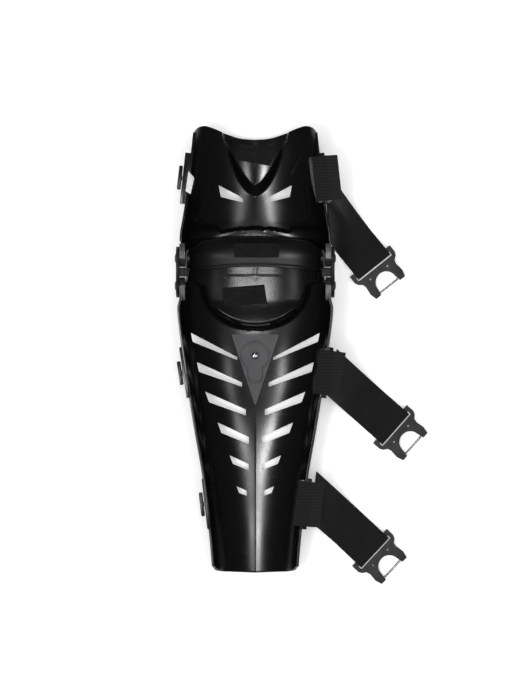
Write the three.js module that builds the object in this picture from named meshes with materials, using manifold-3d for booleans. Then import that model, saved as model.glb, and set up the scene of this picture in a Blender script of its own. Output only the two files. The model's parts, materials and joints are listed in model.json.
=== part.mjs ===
// Motorcycle knee guard: three hard shells on side links, with hook-and-loop patches and strap buckles.
// Millimetres, +Z up towards the leg. The guard lies on its outer face, thigh end towards +Y.
import * as THREE from 'three';
import { mergeVertices } from 'three/addons/utils/BufferGeometryUtils.js';
import Module from 'manifold-3d';

const wasm = await Module();
wasm.setup();

// Driving dimensions of the shells
const thighLength = 145;      // upper pivot to the top of the humps
const pivotSpacing = 30;      // between the two pivots of a side link
const shinLength = 318;       // lower pivot to the bottom edge
const kneeHalfWidth = 82.8;   // outer face of the shells beside the pivots
const rimHeight = 60;         // leg-side edge above the ground at the knee
const pivotHeight = 42;
const shellWall = 2.6;
const bowlDepth = 9;          // how far the knee bowl bulges past the shin
const bowlHalfWidth = 56;
const bowlReach = 44;         // lower pivot down to the end of the bowl
const channelDepth = 9;       // U channel down the thigh shell
const channelHalfWidth = 34.5;
const channelLength = 49.5;
const channelLand = 12.5;     // wall of the channel below its foot
const channelLandHalf = 35.5; // half width of the wall's outer line at the top edge
const channelWallRun = 3;     // least run of the channel's wall
const channelBlunt = 1.6;     // power of the channel's inner curve, which is blunter than a parabola
const riserHeight = 4;        // step of the thigh shell down over the knee plate
const riserRun = 4;
const riserReach = 36.9;      // top of the riser above the upper pivot, at the middle
const riserSag = 4;           // how far the riser drops at the sides of its arc
const riserHalfWidth = 37;
const riserWingReach = 41.8;  // top of the riser in the wings
const riserTurn = 6;          // width over which the arc passes into the wings
const shinOverlap = 26;       // shin shell above the lower pivot, behind the knee plate
const shinWingGap = 2;        // shin shell below the round end of a link
const thighOverlap = 3;       // thigh shell starts this far above the upper pivot
const thighWingRise = 15;     // extra height of its lower edge beside the links
const bowlFlare = 2.2;        // how fast the bowl widens above the lower pivot
const bowlStep = 0.12;        // width of the step round the bowl, as a share of the bowl

// Driving dimensions of the knee plate and hinges
const plateWall = 2.4;
const plateGap = 3.3;         // knee plate to hinge lug
const plateReachUp = 26;      // top edge above the upper pivot
const plateReachDown = 8;     // bottom edge below the upper pivot
const plateClearance = 1;
const plateTaper = 6;         // how far the knee plate's sides draw in above its pivots
const plateTaperStart = 4;
const plateSweep = 7;         // extra reach of the lower edge at the sides
const platePower = 3;         // roundness of the knee plate's section
const bossThickness = 4.6;     // flat pads of the knee plate round its rivets
const lugThickness = 3;
const lugRadius = 9.5;
const lugTongue = 16;         // lug's root, from its pivot back into the shell
const plateHalfWidth = kneeHalfWidth - lugThickness - plateGap;
const linkThickness = 3.5;
const linkRadius = 13;
const linkWaist = 2.5;        // how far the sides of a link draw in
const rivetRadius = 2.6;
const rivetHeadRadius = 5;
const rivetHeadHeight = 1.4;
const fit = 0.3;              // gap between pieces that touch

// Driving dimensions of the inserts
const badgeWidth = 53;
const badgeLength = 78;
const badgeThickness = 2;
const badgeTip = 0.5;         // half width of the badge's blunt tip
const badgeSeat = 0.5;        // gap under the badge
const screwHeadRadius = 4;
const screwHeadHeight = 1.8;
const screwRadius = 1.5;
const patchThickness = 1.6;
const patchSeat = 0.7;        // glue line under a patch

// Driving dimensions of the straps and their hardware
const barLength = 56;
const barHeight = 6;
const barReach = 5;           // how far a strap's bar stands out from the wall
const barInset = 2.8;
const slotHeight = 10;
const slotClearance = 0.5;    // free play at each end of a webbing loop in its slot
const studWindow = 24;        // open slot beside the thigh stud
const studWindowInset = 6.8;
const studWindowReach = 1.9;
const capLength = 26;
const capThickness = 4;
const capHeight = 13;
const postRadius = 2.8;
const postLength = 0.5;
const loopWidth = 49;
const loopThickness = 2;
const loopSlack = 0.4;
const loopCorner = 0.6;       // rounding of the loop's folds
const tailReach = 12;         // sewn tail of a loop past its fold
const tailDrop = 10;
const tailTuck = 1.5;         // strap starts this far out under the loop's tail
const strapRun = 100;         // reach of the straps, from rim to buckle
const strapWidth = 45;
const strapThickness = 1.6;
const rampCurve = 1.7;        // how quickly a strap falls away from its loop
const foldBack = 17;          // strap end turned back under the buckle
const strapLift = 0.2;        // slack of the strap over the buckle's bar
const strapShed = 0.4;        // how fast a strap drops where it runs past the loop's tail
const buckleWidth = 56.5;
const buckleHeight = 37.6;
const buckleThickness = 4.5;
const buckleSlotWidth = 47.6;
const buckleSlotHeight = 5.2;
const buckleBar = 5;          // bar between the slot and the edge
const buckleMouthRadius = 12.1;
const buckleHoleRadius = 1.1;
const buckleHoleOut = 11.9;   // small holes, from the middle of the buckle
const buckleHoleUp = 16.5;
const buckleMouthUp = 30;     // centre of the mouth, from the near edge
const pinUp = 35;
const pinRadius = 1.3;
const pinLength = 31;
const openRun = 20;           // how far a cutter runs clear of what it cuts

const kneeY = pivotSpacing;
const sides = [{ name: 'left', way: -1 }, { name: 'right', way: 1 }];

// Thigh shell, from the upper pivot up: at is a share of thighLength, width of kneeHalfWidth,
// rim of rimHeight and keel of bowlDepth. power is the roundness of the section and crease its V share.
const thighSections = [
  { at: -0.1, width: 1.0, rim: 1.0, keel: 0.3, power: 3.2, crease: 0.01 },
  { at: 0.17, width: 0.992, rim: 1.0, keel: 0.3, power: 3.0, crease: 0.02 },
  { at: 0.3, width: 0.955, rim: 0.99, keel: 0.5, power: 2.2, crease: 0.03 },
  { at: 0.45, width: 0.915, rim: 0.97, keel: 0.9, power: 2.0, crease: 0.04 },
  { at: 0.6, width: 0.885, rim: 0.94, keel: 1.3, power: 1.8, crease: 0.05 },
  { at: 0.8, width: 0.847, rim: 0.9, keel: 1.7, power: 1.8, crease: 0.05 },
  { at: 1.0, width: 0.81, rim: 0.86, keel: 1.9, power: 1.8, crease: 0.05 },
];

// Shin shell, from the lower pivot down: at is a share of shinLength, the rest as above
const shinSections = [
  { at: -0.1, width: 1.0, rim: 1.0, keel: 1.0, power: 3.2, crease: 0 },
  { at: 0.045, width: 1.0, rim: 1.0, keel: 1.0, power: 3.2, crease: 0 },
  { at: 0.08, width: 1.026, rim: 0.99, keel: 1.0, power: 2.8, crease: 0 },
  { at: 0.21, width: 0.972, rim: 0.94, keel: 1.0, power: 2.4, crease: 0 },
  { at: 0.367, width: 0.884, rim: 0.87, keel: 0.9, power: 2.4, crease: 0.03 },
  { at: 0.498, width: 0.804, rim: 0.81, keel: 0.75, power: 2.3, crease: 0.12 },
  { at: 0.654, width: 0.702, rim: 0.74, keel: 0.5, power: 2.2, crease: 0.16 },
  { at: 0.841, width: 0.618, rim: 0.68, keel: 0.2, power: 2.1, crease: 0.14 },
  { at: 1.0, width: 0.564, rim: 0.64, keel: 0.0, power: 2.0, crease: 0.12 },
];

// End edges of the shells: at is the share of the half width, reach a share of the shell's length
const thighTopEdge = [
  { at: 0, reach: 0.913 },
  { at: 0.25, reach: 0.922 },
  { at: 0.47, reach: 0.95 },
  { at: 0.8, reach: 1.0 },
  { at: 0.93, reach: 0.99 },
  { at: 1, reach: 0.945 },
];
const shinBottomEdge = [
  { at: 0, reach: 1.0 },
  { at: 0.6, reach: 0.994 },
  { at: 0.9, reach: 0.982 },
  { at: 1, reach: 0.955 },
];

// Chevron slots of the shin: y columns are shares of shinLength, x columns of kneeHalfWidth
const chevronSlots = [
  { outTop: 0.162, inTop: 0.247, inLow: 0.257, outLow: 0.193, outX: 0.856, outLowX: 0.832, inX: 0.239 },
  { outTop: 0.263, inTop: 0.335, inLow: 0.35, outLow: 0.297, outX: 0.778, outLowX: 0.75, inX: 0.178 },
  { outTop: 0.366, inTop: 0.429, inLow: 0.45, outLow: 0.403, outX: 0.667, outLowX: 0.616, inX: 0.127 },
  { outTop: 0.473, inTop: 0.525, inLow: 0.55, outLow: 0.51, outX: 0.504, outLowX: 0.453, inX: 0.086 },
  { outTop: 0.588, inTop: 0.619, inLow: 0.641, outLow: 0.618, outX: 0.345, outLowX: 0.301, inX: 0.09 },
  { outTop: 0.696, inTop: 0.713, inLow: 0.731, outLow: 0.72, outX: 0.252, outLowX: 0.217, inX: 0.114 },
];

// Eye-shaped vent of the thigh: x is a share of kneeHalfWidth, y of thighLength
const thighVent = [
  { x: 0.488, y: 0.56 },
  { x: 0.209, y: 0.481 },
  { x: 0.158, y: 0.454 },
  { x: 0.169, y: 0.433 },
  { x: 0.46, y: 0.472 },
];

// Vents in the step below the bowl: x is a share of bowlHalfWidth, y of bowlReach
const bowlVent = [
  { x: 0.86, y: 0.6 },
  { x: 0.78, y: 0.56 },
  { x: 0.28, y: 0.94 },
  { x: 0.3, y: 1.03 },
];

// Patch corners: x is a share of kneeHalfWidth, y of the length that the patch lies along
const thighPatchCorners = [
  { x: -0.225, y: 0.755 },
  { x: 0.19, y: 0.712 },
  { x: 0.28, y: 0.85 },
  { x: -0.202, y: 0.88 },
];
const kneePatchCorners = [
  { x: -0.28, y: 0.08 },
  { x: 0.31, y: 0.08 },
  { x: 0.31, y: 0.68 },
  { x: -0.28, y: 0.68 },
];
const bowlPatchCorners = [
  { x: -0.42, y: -0.071 },
  { x: 0.163, y: -0.059 },
  { x: 0.121, y: 0.007 },
  { x: -0.437, y: -0.004 },
];

// Strap stations: at is a share of the shell's length. The buckle's place is given from the station
// outwards and down in shares of strapRun, and angle is the strap's slope on the ground in degrees
// below horizontal. studReach is how far the stud's bar stands out, as a share of barReach.
const strapStations = [
  { name: 'thigh', shell: 'thigh', at: 0.596, out: 0.536, down: 0.88, angle: 51.5, studReach: 1.2 },
  { name: 'shin_upper', shell: 'shin', at: 0.298, out: 0.73, down: 0.58, angle: 41.5, studReach: 0.5 },
  { name: 'shin_lower', shell: 'shin', at: 0.751, out: 0.725, down: 0.51, angle: 43, studReach: 0.3 },
];

// Buckle outline on one side: out is a share of half the width, up a share of the height
const buckleOutline = [
  { out: 1.0, up: 0.0 },
  { out: 1.0, up: 0.25 },
  { out: 0.93, up: 0.35 },
  { out: 0.79, up: 0.43 },
  { out: 0.75, up: 0.55 },
  { out: 0.79, up: 0.8 },
  { out: 0.72, up: 1.0 },
  { out: 0.48, up: 1.0 },
];

// Strap end round the buckle bar, in webbing thicknesses above and below the bar: along is in
// bar widths from the buckle's edge
const strapEnd = [
  { along: -5.4, layer: 'ground' },
  { along: -3.6, layer: 'lapped' },
  { along: -0.5, layer: 'over' },
  { along: 1.12, layer: 'over' },
  { along: 1.32, layer: 'upper turn' },
  { along: 1.32, layer: 'lower turn' },
  { along: 1.12, layer: 'under' },
];

// Finishes
const finish = (color, roughness, metalness = 0) => {
  return () => new THREE.MeshStandardMaterial({ color, roughness, metalness });
};
const shellPlastic = finish(0x141416, 0.32);
const badgePlastic = finish(0x5a5a5c, 0.6);
const webbing = finish(0x1d1d1f, 0.95);
const hookAndLoop = finish(0x1a1a1c, 1.0);
const bucklePlastic = finish(0x4c4c4f, 0.55);
const steel = finish(0xc9cbcd, 0.25, 1);

const guard = new THREE.Group();

// Reads a column of a table at a place between its rows, on a smooth curve
function readTable(rows, column, at) {
  const last = rows.length - 1;
  let low = 0;
  while (low < last - 1 && at > rows[low + 1].at) low += 1;
  const slope = (index) => {
    const before = rows[Math.max(index - 1, 0)];
    const after = rows[Math.min(index + 1, last)];
    return (after[column] - before[column]) / (after.at - before.at);
  };
  const span = rows[low + 1].at - rows[low].at;
  const t = THREE.MathUtils.clamp((at - rows[low].at) / span, 0, 1);
  const rise = rows[low + 1][column] - rows[low][column];
  const [start, end] = [slope(low) * span, slope(low + 1) * span];
  return rows[low][column] + t * start + t * t * (3 * rise - 2 * start - end)
    + t * t * t * (start + end - 2 * rise);
}

const smooth = (value, low, high) => THREE.MathUtils.smoothstep(value, low, high);

// Height share of a shell section at a share of its half width
function sectionHeight(across, power, crease) {
  const share = Math.min(Math.abs(across), 1);
  return (1 - crease) * (1 - (1 - share ** power) ** (1 / power)) + crease * share;
}

// How much of the U channel a point of the thigh shell is in, from 0 to 1: the channel's wall runs
// from an outer curve, which is a parabola, to a blunter inner one
function channelShare(x, up) {
  const above = up - (thighLength * thighTopEdge[0].reach - channelLength);
  const inner = channelLength * (Math.abs(x) / channelHalfWidth) ** channelBlunt;
  const outer = (channelLength + channelLand) * (x / channelLandHalf) ** 2 - channelLand;
  return smooth(above, outer, Math.max(inner, outer + channelWallRun));
}

// Height of the riser's top above the upper pivot: an arc in the middle, level in the wings
function riserTop(x) {
  const arc = riserReach - riserSag * Math.min(Math.abs(x) / riserHalfWidth, 1) ** 2;
  const wing = smooth(Math.abs(x), riserHalfWidth, riserHalfWidth + riserTurn);
  return arc + (riserWingReach - arc) * wing;
}

// How much of the knee bowl a point of the shin shell is in, from 0 to 1
function bowlShare(x, down) {
  const halfWidth = bowlHalfWidth + Math.max(-down, 0) * bowlFlare;
  const radius = Math.hypot(x / halfWidth, Math.max(down, 0) / bowlReach);
  return 1 - smooth(radius, 1, 1 + bowlStep);
}

// Outer face of the thigh shell: x across, up from the upper pivot
const thighSurface = {
  halfWidth: (up) => kneeHalfWidth * readTable(thighSections, 'width', up / thighLength),
  rim: (up) => rimHeight * readTable(thighSections, 'rim', up / thighLength),
  height(x, up) {
    const at = up / thighLength;
    const riser = riserHeight * smooth(up, riserTop(x) - riserRun, riserTop(x));
    const keel = bowlDepth * readTable(thighSections, 'keel', at) + riser
      - channelDepth * channelShare(x, up);
    const power = readTable(thighSections, 'power', at);
    const crease = readTable(thighSections, 'crease', at);
    return keel + (this.rim(up) - keel) * sectionHeight(x / this.halfWidth(up), power, crease);
  },
};

// Outer face of the shin shell: x across, down from the lower pivot
const shinSurface = {
  halfWidth: (down) => kneeHalfWidth * readTable(shinSections, 'width', down / shinLength),
  rim: (down) => rimHeight * readTable(shinSections, 'rim', down / shinLength),
  height(x, down) {
    const at = down / shinLength;
    const keel = bowlDepth * (readTable(shinSections, 'keel', at) - bowlShare(x, down));
    const power = readTable(shinSections, 'power', at);
    const crease = readTable(shinSections, 'crease', at);
    return keel + (this.rim(down) - keel) * sectionHeight(x / this.halfWidth(down), power, crease);
  },
};

// Outer face of the knee plate: an arc round the upper pivot, so that the thigh shell slides over it
const plateSurface = {
  halfWidth: (up) => plateHalfWidth - plateTaper * smooth(up, plateTaperStart, plateReachUp * 0.7),
  rim: () => pivotHeight + lugRadius,
  height(x, up) {
    const keel = 0.3 * bowlDepth + shellWall + plateClearance;
    const radius = pivotHeight - keel;
    const lift = up > 0 ? radius - Math.sqrt(radius ** 2 - up ** 2) : 0;
    const low = keel + lift;
    return low + (this.rim() - low) * sectionHeight(x / this.halfWidth(up), platePower, 0);
  },
};

// Spreads columns over a section: more of them on the steep wall near the rim
const columnSpread = 1.4;
const acrossShare = (u) => Math.sign(u) * (1 - (1 - Math.abs(u)) ** columnSpread);

// Closed wall over a grid: point(u, v) is the outer face, u from -1 to 1 and v from 0 to 1 towards +Y
function gridWall(point, wall, columns, rows) {
  const step = 1e-4;
  const positions = [];
  const outerAndInner = (u, v) => {
    const here = point(u, v);
    const alongU = point(Math.min(u + step, 1), v).sub(point(Math.max(u - step, -1), v));
    const alongV = point(u, Math.min(v + step, 1)).sub(point(u, Math.max(v - step, 0)));
    const normal = alongU.cross(alongV).normalize();
    return [here, here.clone().addScaledVector(normal, wall)];
  };
  for (let row = 0; row <= rows; row += 1) {
    for (let column = 0; column <= columns; column += 1) {
      const [outer, inner] = outerAndInner(-1 + (2 * column) / columns, row / rows);
      positions.push(...outer.toArray(), ...inner.toArray());
    }
  }
  const outer = (column, row) => 2 * (row * (columns + 1) + column);
  const inner = (column, row) => outer(column, row) + 1;
  const index = [];
  const quad = (a, b, c, d) => index.push(a, b, c, a, c, d);
  for (let row = 0; row < rows; row += 1) {
    for (let column = 0; column < columns; column += 1) {
      const [right, far] = [column + 1, row + 1];
      quad(inner(column, row), inner(right, row), inner(right, far), inner(column, far));
      quad(outer(column, row), outer(column, far), outer(right, far), outer(right, row));
    }
  }
  for (let column = 0; column < columns; column += 1) {
    const right = column + 1;
    quad(outer(column, 0), outer(right, 0), inner(right, 0), inner(column, 0));
    quad(outer(right, rows), outer(column, rows), inner(column, rows), inner(right, rows));
  }
  for (let row = 0; row < rows; row += 1) {
    const far = row + 1;
    quad(outer(0, far), outer(0, row), inner(0, row), inner(0, far));
    quad(outer(columns, row), outer(columns, far), inner(columns, far), inner(columns, row));
  }
  const geometry = new THREE.BufferGeometry();
  geometry.setAttribute('position', new THREE.Float32BufferAttribute(positions, 3));
  geometry.setIndex(index);
  return geometry;
}

function toSolid(geometry) {
  const bare = geometry.clone();
  bare.deleteAttribute('normal');
  bare.deleteAttribute('uv');
  const merged = mergeVertices(bare, 1e-4);
  const vertProperties = new Float32Array(merged.attributes.position.array);
  const triVerts = new Uint32Array(merged.index.array);
  return new wasm.Manifold(new wasm.Mesh({ numProp: 3, vertProperties, triVerts }));
}

function toGeometry(solid) {
  const mesh = solid.getMesh();
  const geometry = new THREE.BufferGeometry();
  geometry.setAttribute('position', new THREE.BufferAttribute(mesh.vertProperties, 3));
  geometry.setIndex(new THREE.BufferAttribute(mesh.triVerts, 1));
  return geometry;
}

// Joins the pieces of a solid and then cuts the cutters out of it
function shape(pieces, cutters = []) {
  let solid = toSolid(pieces[0]);
  for (const piece of pieces.slice(1)) solid = solid.add(toSolid(piece));
  for (const cutter of cutters) solid = solid.subtract(toSolid(cutter));
  return toGeometry(solid);
}

// Upright prism over an outline of [x, y] points
function prism(points, bottom, top) {
  const outline = new THREE.Shape(points.map(([x, y]) => new THREE.Vector2(x, y)));
  const geometry = new THREE.ExtrudeGeometry(outline, { depth: top - bottom, bevelEnabled: false });
  return geometry.translate(0, 0, bottom);
}

function box([x0, x1], [y0, y1], [z0, z1]) {
  const geometry = new THREE.BoxGeometry(x1 - x0, y1 - y0, z1 - z0);
  return geometry.translate((x0 + x1) / 2, (y0 + y1) / 2, (z0 + z1) / 2);
}

// Rod along X through the given y and z
function crossRod(radius, x0, x1, y, z, segments = 10) {
  const geometry = new THREE.CylinderGeometry(radius, radius, x1 - x0, segments);
  return geometry.rotateZ(Math.PI / 2).translate((x0 + x1) / 2, y, z);
}

// Places a geometry made in a station's frame: x out from the rim, y along it, z from the ground
function atRim(geometry, rim) {
  if (rim.way < 0) geometry.rotateZ(Math.PI);
  return geometry.rotateZ(rim.turn).translate(rim.x, rim.y, 0);
}

function addMesh(name, geometry, material) {
  const mesh = new THREE.Mesh(geometry, material());
  mesh.name = name;
  guard.add(mesh);
}

const shells = {
  thigh: { surface: thighSurface, length: thighLength, toY: (along) => kneeY + along },
  shin: { surface: shinSurface, length: shinLength, toY: (along) => -along },
};

// Frame on the rim of a shell at a strap station
function rimFrame(station, way) {
  const { surface, length, toY } = shells[station.shell];
  const along = station.at * length;
  const [near, far] = [along - barReach, along + barReach];
  const slope = (surface.halfWidth(far) - surface.halfWidth(near)) / (toY(far) - toY(near));
  return {
    way,
    x: way * surface.halfWidth(along),
    y: toY(along),
    top: surface.rim(along),
    slope,
    turn: way * -Math.atan(slope),
  };
}

const studBarReach = (station) => station.studReach * barReach;

// Bar along the rim that carries a strap's loop or a stud
function rimBar(rim, reach) {
  const bar = box([-barInset, reach], [-barLength / 2, barLength / 2], [rim.top - barHeight, rim.top]);
  return atRim(bar, rim);
}

// Upright cut through the wall beside a bar
function rimWindow(rim, inset, reach, length) {
  const low = rim.top - barHeight - slotHeight;
  return atRim(box([-inset, reach], [-length / 2, length / 2], [low, rim.top + openRun]), rim);
}

// Bars of a shell at a strap station: the strap's on the right in its slot, the stud's on the left
function addBars(solid, station) {
  const [right, left] = [rimFrame(station, 1), rimFrame(station, -1)];
  const slot = rimWindow(right, barInset + slotHeight, barReach + openRun, loopWidth + 2 * slotClearance);
  return solid.subtract(toSolid(slot)).add(toSolid(rimBar(right, barReach)))
    .add(toSolid(rimBar(left, studBarReach(station))));
}

// Two distances from the middle as a span along X on one side
const span = (way, near, far) => (way > 0 ? [near, far] : [-far, -near]);

// Hinge lug beside a pivot, with its tongue running back into the shell along toY
function hingeLug(way, pivotY, toY) {
  const tongueEnd = pivotY + toY * lugTongue;
  const reach = span(way, kneeHalfWidth - lugThickness, kneeHalfWidth);
  const disc = crossRod(lugRadius, ...reach, pivotY, pivotHeight, 16);
  const ends = pivotY < tongueEnd ? [pivotY, tongueEnd] : [tongueEnd, pivotY];
  const halfTongue = lugRadius * 0.9;
  const tongue = box(reach, ends, [pivotHeight - halfTongue, pivotHeight + halfTongue]);
  return [disc, tongue];
}

function pivotHole(way, pivotY) {
  const reach = span(way, plateHalfWidth - openRun / 2, kneeHalfWidth + openRun / 2);
  return crossRod(rivetRadius + fit, ...reach, pivotY, pivotHeight);
}

function addThighPlate() {
  const point = (u, v) => {
    const across = acrossShare(u);
    const low = thighOverlap + thighWingRise * smooth(Math.abs(u), 0.8, 1);
    const high = thighLength * readTable(thighTopEdge, 'reach', Math.abs(across));
    const up = low + (high - low) * v;
    const x = thighSurface.halfWidth(up) * across;
    return new THREE.Vector3(x, kneeY + up, thighSurface.height(x, up));
  };
  const [station] = strapStations;
  const studSlot = rimWindow(rimFrame(station, -1), studWindowInset, studWindowReach, studWindow);
  let solid = addBars(toSolid(gridWall(point, shellWall, 26, 16)), station).subtract(toSolid(studSlot));
  for (const { way } of sides) {
    for (const piece of hingeLug(way, kneeY, 1)) solid = solid.add(toSolid(piece));
    const vent = thighVent.map(({ x, y }) => [way * x * kneeHalfWidth, kneeY + y * thighLength]);
    solid = solid.subtract(toSolid(prism(vent, -openRun, rimHeight)));
    solid = solid.subtract(toSolid(pivotHole(way, kneeY)));
  }
  addMesh('thigh_plate', toGeometry(solid), shellPlastic);
}

function addShinPlate() {
  const point = (u, v) => {
    const across = acrossShare(u);
    const wing = shinOverlap + linkRadius + shinWingGap;
    const top = shinOverlap - wing * smooth(Math.abs(u), 0.72, 1);
    const bottom = -shinLength * readTable(shinBottomEdge, 'reach', Math.abs(across));
    const y = bottom + (top - bottom) * v;
    const x = shinSurface.halfWidth(-y) * across;
    return new THREE.Vector3(x, y, shinSurface.height(x, -y));
  };
  let solid = toSolid(gridWall(point, shellWall, 22, 30));
  for (const station of strapStations.slice(1)) solid = addBars(solid, station);
  for (const { way } of sides) {
    for (const piece of hingeLug(way, 0, -1)) solid = solid.add(toSolid(piece));
    for (const slot of chevronSlots) {
      const corner = (x, y) => [way * x * kneeHalfWidth, -y * shinLength];
      const outline = [corner(slot.outX, slot.outTop), corner(slot.inX, slot.inTop),
        corner(slot.inX, slot.inLow), corner(slot.outLowX, slot.outLow)];
      solid = solid.subtract(toSolid(prism(outline, -openRun, rimHeight)));
    }
    const vent = bowlVent.map(({ x, y }) => [way * x * bowlHalfWidth, -y * bowlReach]);
    solid = solid.subtract(toSolid(prism(vent, -openRun, rimHeight / 2)));
    solid = solid.subtract(toSolid(pivotHole(way, 0)));
  }
  addMesh('shin_plate', toGeometry(solid.subtract(toSolid(screwHole()))), shellPlastic);
}

function addKneePlate() {
  const point = (u, v) => {
    const across = acrossShare(u);
    const side = smooth(Math.abs(u), 0.7, 1);
    const high = plateReachUp * (1 - 0.3 * across ** 2) * (1 - side) + lugRadius * side;
    const low = -(plateReachDown + plateSweep * across ** 2) * (1 - side) - lugRadius * side;
    const up = low + (high - low) * v;
    const x = plateSurface.halfWidth(up) * across;
    return new THREE.Vector3(x, kneeY + up, plateSurface.height(x, up));
  };
  const bosses = sides.map(({ way }) => crossRod(lugRadius - 1, ...span(way, plateHalfWidth - bossThickness,
    plateHalfWidth), kneeY, pivotHeight, 16));
  const holes = sides.map(({ way }) => pivotHole(way, kneeY));
  addMesh('knee_plate', shape([gridWall(point, plateWall, 20, 5), ...bosses], holes), shellPlastic);
}

// Side links, waisted between two round ends
function addLinks() {
  const outline = new THREE.Shape();
  outline.absarc(0, 0, linkRadius, Math.PI, 2 * Math.PI);
  outline.quadraticCurveTo(linkRadius - 2 * linkWaist, pivotSpacing / 2, linkRadius, pivotSpacing);
  outline.absarc(0, pivotSpacing, linkRadius, 0, Math.PI);
  outline.quadraticCurveTo(2 * linkWaist - linkRadius, pivotSpacing / 2, -linkRadius, 0);
  for (const { name, way } of sides) {
    const inner = kneeHalfWidth + fit;
    const slab = new THREE.ExtrudeGeometry(outline,
      { depth: linkThickness, bevelEnabled: false, curveSegments: 7 });
    slab.rotateY(Math.PI / 2).translate(way > 0 ? inner : -inner - linkThickness, 0, pivotHeight);
    const holes = [pivotHole(way, 0), pivotHole(way, kneeY)];
    addMesh(`link_${name}`, shape([slab], holes), shellPlastic);
  }
}

// Rivets: the upper ones also carry the knee plate, on a collar that holds it off the lug. A head's
// crown is 0.8 of its width
function addRivets() {
  const outside = kneeHalfWidth + linkThickness + 2 * fit;
  const lugInside = kneeHalfWidth - lugThickness - 2 * fit;
  const plateInside = plateHalfWidth - bossThickness - fit;
  const head = rivetHeadRadius;
  const upperProfile = [
    [0, plateInside - rivetHeadHeight], [head * 0.8, plateInside - rivetHeadHeight * 0.6],
    [head, plateInside], [rivetRadius, plateInside],
    [rivetRadius, plateHalfWidth + fit], [head, plateHalfWidth + fit],
    [head, lugInside], [rivetRadius, lugInside],
  ];
  const lowerProfile = [
    [0, lugInside - 2 * rivetHeadHeight], [head * 0.8, lugInside - 1.6 * rivetHeadHeight],
    [head, lugInside], [rivetRadius, lugInside],
  ];
  const outerHead = [
    [rivetRadius, outside], [head, outside],
    [head * 0.8, outside + rivetHeadHeight * 0.7], [0, outside + rivetHeadHeight],
  ];
  const levels = [{ level: 'upper', profile: upperProfile, y: kneeY },
    { level: 'lower', profile: lowerProfile, y: 0 }];
  for (const { name, way } of sides) {
    for (const { level, profile, y } of levels) {
      const points = [...profile, ...outerHead].map(([r, x]) => new THREE.Vector2(r, x));
      const rivet = new THREE.LatheGeometry(points, 10).rotateZ(way * -Math.PI / 2);
      addMesh(`rivet_${name}_${level}`, rivet.translate(0, y, pivotHeight), steel);
    }
  }
}

// Sheet that lies on the leg side of a surface: corners run round it, first along its lower edge
function surfaceSheet(corners, surfaceAt, seat, thickness, columns, rows) {
  const [a, b, c, d] = corners.map(([x, y]) => new THREE.Vector2(x, y));
  const point = (u, v) => {
    const share = (u + 1) / 2;
    const low = a.clone().lerp(b, share);
    const high = d.clone().lerp(c, share);
    const { x, y } = low.lerp(high, v);
    return new THREE.Vector3(x, y, surfaceAt(x, y) + seat);
  };
  return gridWall(point, thickness, columns, rows);
}

function addPatches() {
  const place = (corners, toY) => corners.map(({ x, y }) => [x * kneeHalfWidth, toY(y)]);
  const patches = [
    ['patch_thigh', place(thighPatchCorners, (y) => kneeY + y * thighLength),
      (x, y) => thighSurface.height(x, y - kneeY), shellWall],
    ['patch_knee', place(kneePatchCorners, (y) => kneeY + y * plateReachUp),
      (x, y) => plateSurface.height(x, y - kneeY), plateWall],
    ['patch_bowl', place(bowlPatchCorners, (y) => y * shinLength),
      (x, y) => shinSurface.height(x, -y), shellWall],
  ];
  for (const [name, corners, surfaceAt, wall] of patches) {
    addMesh(name, surfaceSheet(corners, surfaceAt, wall + patchSeat, patchThickness, 6, 4), hookAndLoop);
  }
}

const badgeTop = -0.167 * shinLength;
const screwY = badgeTop - 0.3 * badgeLength;

function screwHole() {
  const hole = new THREE.CylinderGeometry(screwRadius + fit, screwRadius + fit, rimHeight, 12);
  return hole.rotateX(Math.PI / 2).translate(0, screwY, 0);
}

// Grey triangular insert and the screw that holds it
function addBadge() {
  const half = badgeWidth / 2;
  const low = badgeTop - badgeLength;
  const corners = [[-badgeTip, low], [badgeTip, low], [half, badgeTop], [-half, badgeTop]];
  const surfaceAt = (x, y) => shinSurface.height(x, -y);
  const seat = shellWall + badgeSeat;
  const sheet = surfaceSheet(corners, surfaceAt, seat, badgeThickness, 6, 8);
  addMesh('badge_plate', shape([sheet], [screwHole()]), badgePlastic);
  const bottom = surfaceAt(0, screwY) + fit;
  const seatTop = bottom + seat + badgeThickness + fit;
  const profile = [[0, bottom], [screwRadius, bottom], [screwRadius, seatTop], [screwHeadRadius, seatTop],
    [screwHeadRadius * 0.8, seatTop + screwHeadHeight * 0.7], [0, seatTop + screwHeadHeight]];
  const screw = new THREE.LatheGeometry(profile.map(([r, z]) => new THREE.Vector2(r, z)), 16);
  addMesh('badge_screw', screw.rotateX(Math.PI / 2).translate(0, screwY, 0), steel);
}

// Studs on the left slot bars: a round post with a flat cap for the buckle to hook on
function addStud(station) {
  const rim = rimFrame(station, -1);
  const middle = rim.top - barHeight / 2;
  const postStart = studBarReach(station) + fit;
  const capStart = postStart + postLength;
  const post = crossRod(postRadius, postStart, capStart + capThickness / 2, 0, middle, 12);
  const cap = box([capStart, capStart + capThickness], [-capLength / 2, capLength / 2],
    [middle - capHeight / 2, middle + capHeight / 2]);
  addMesh(`stud_${station.name}`, shape([atRim(post, rim), atRim(cap, rim)]), shellPlastic);
}

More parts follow.
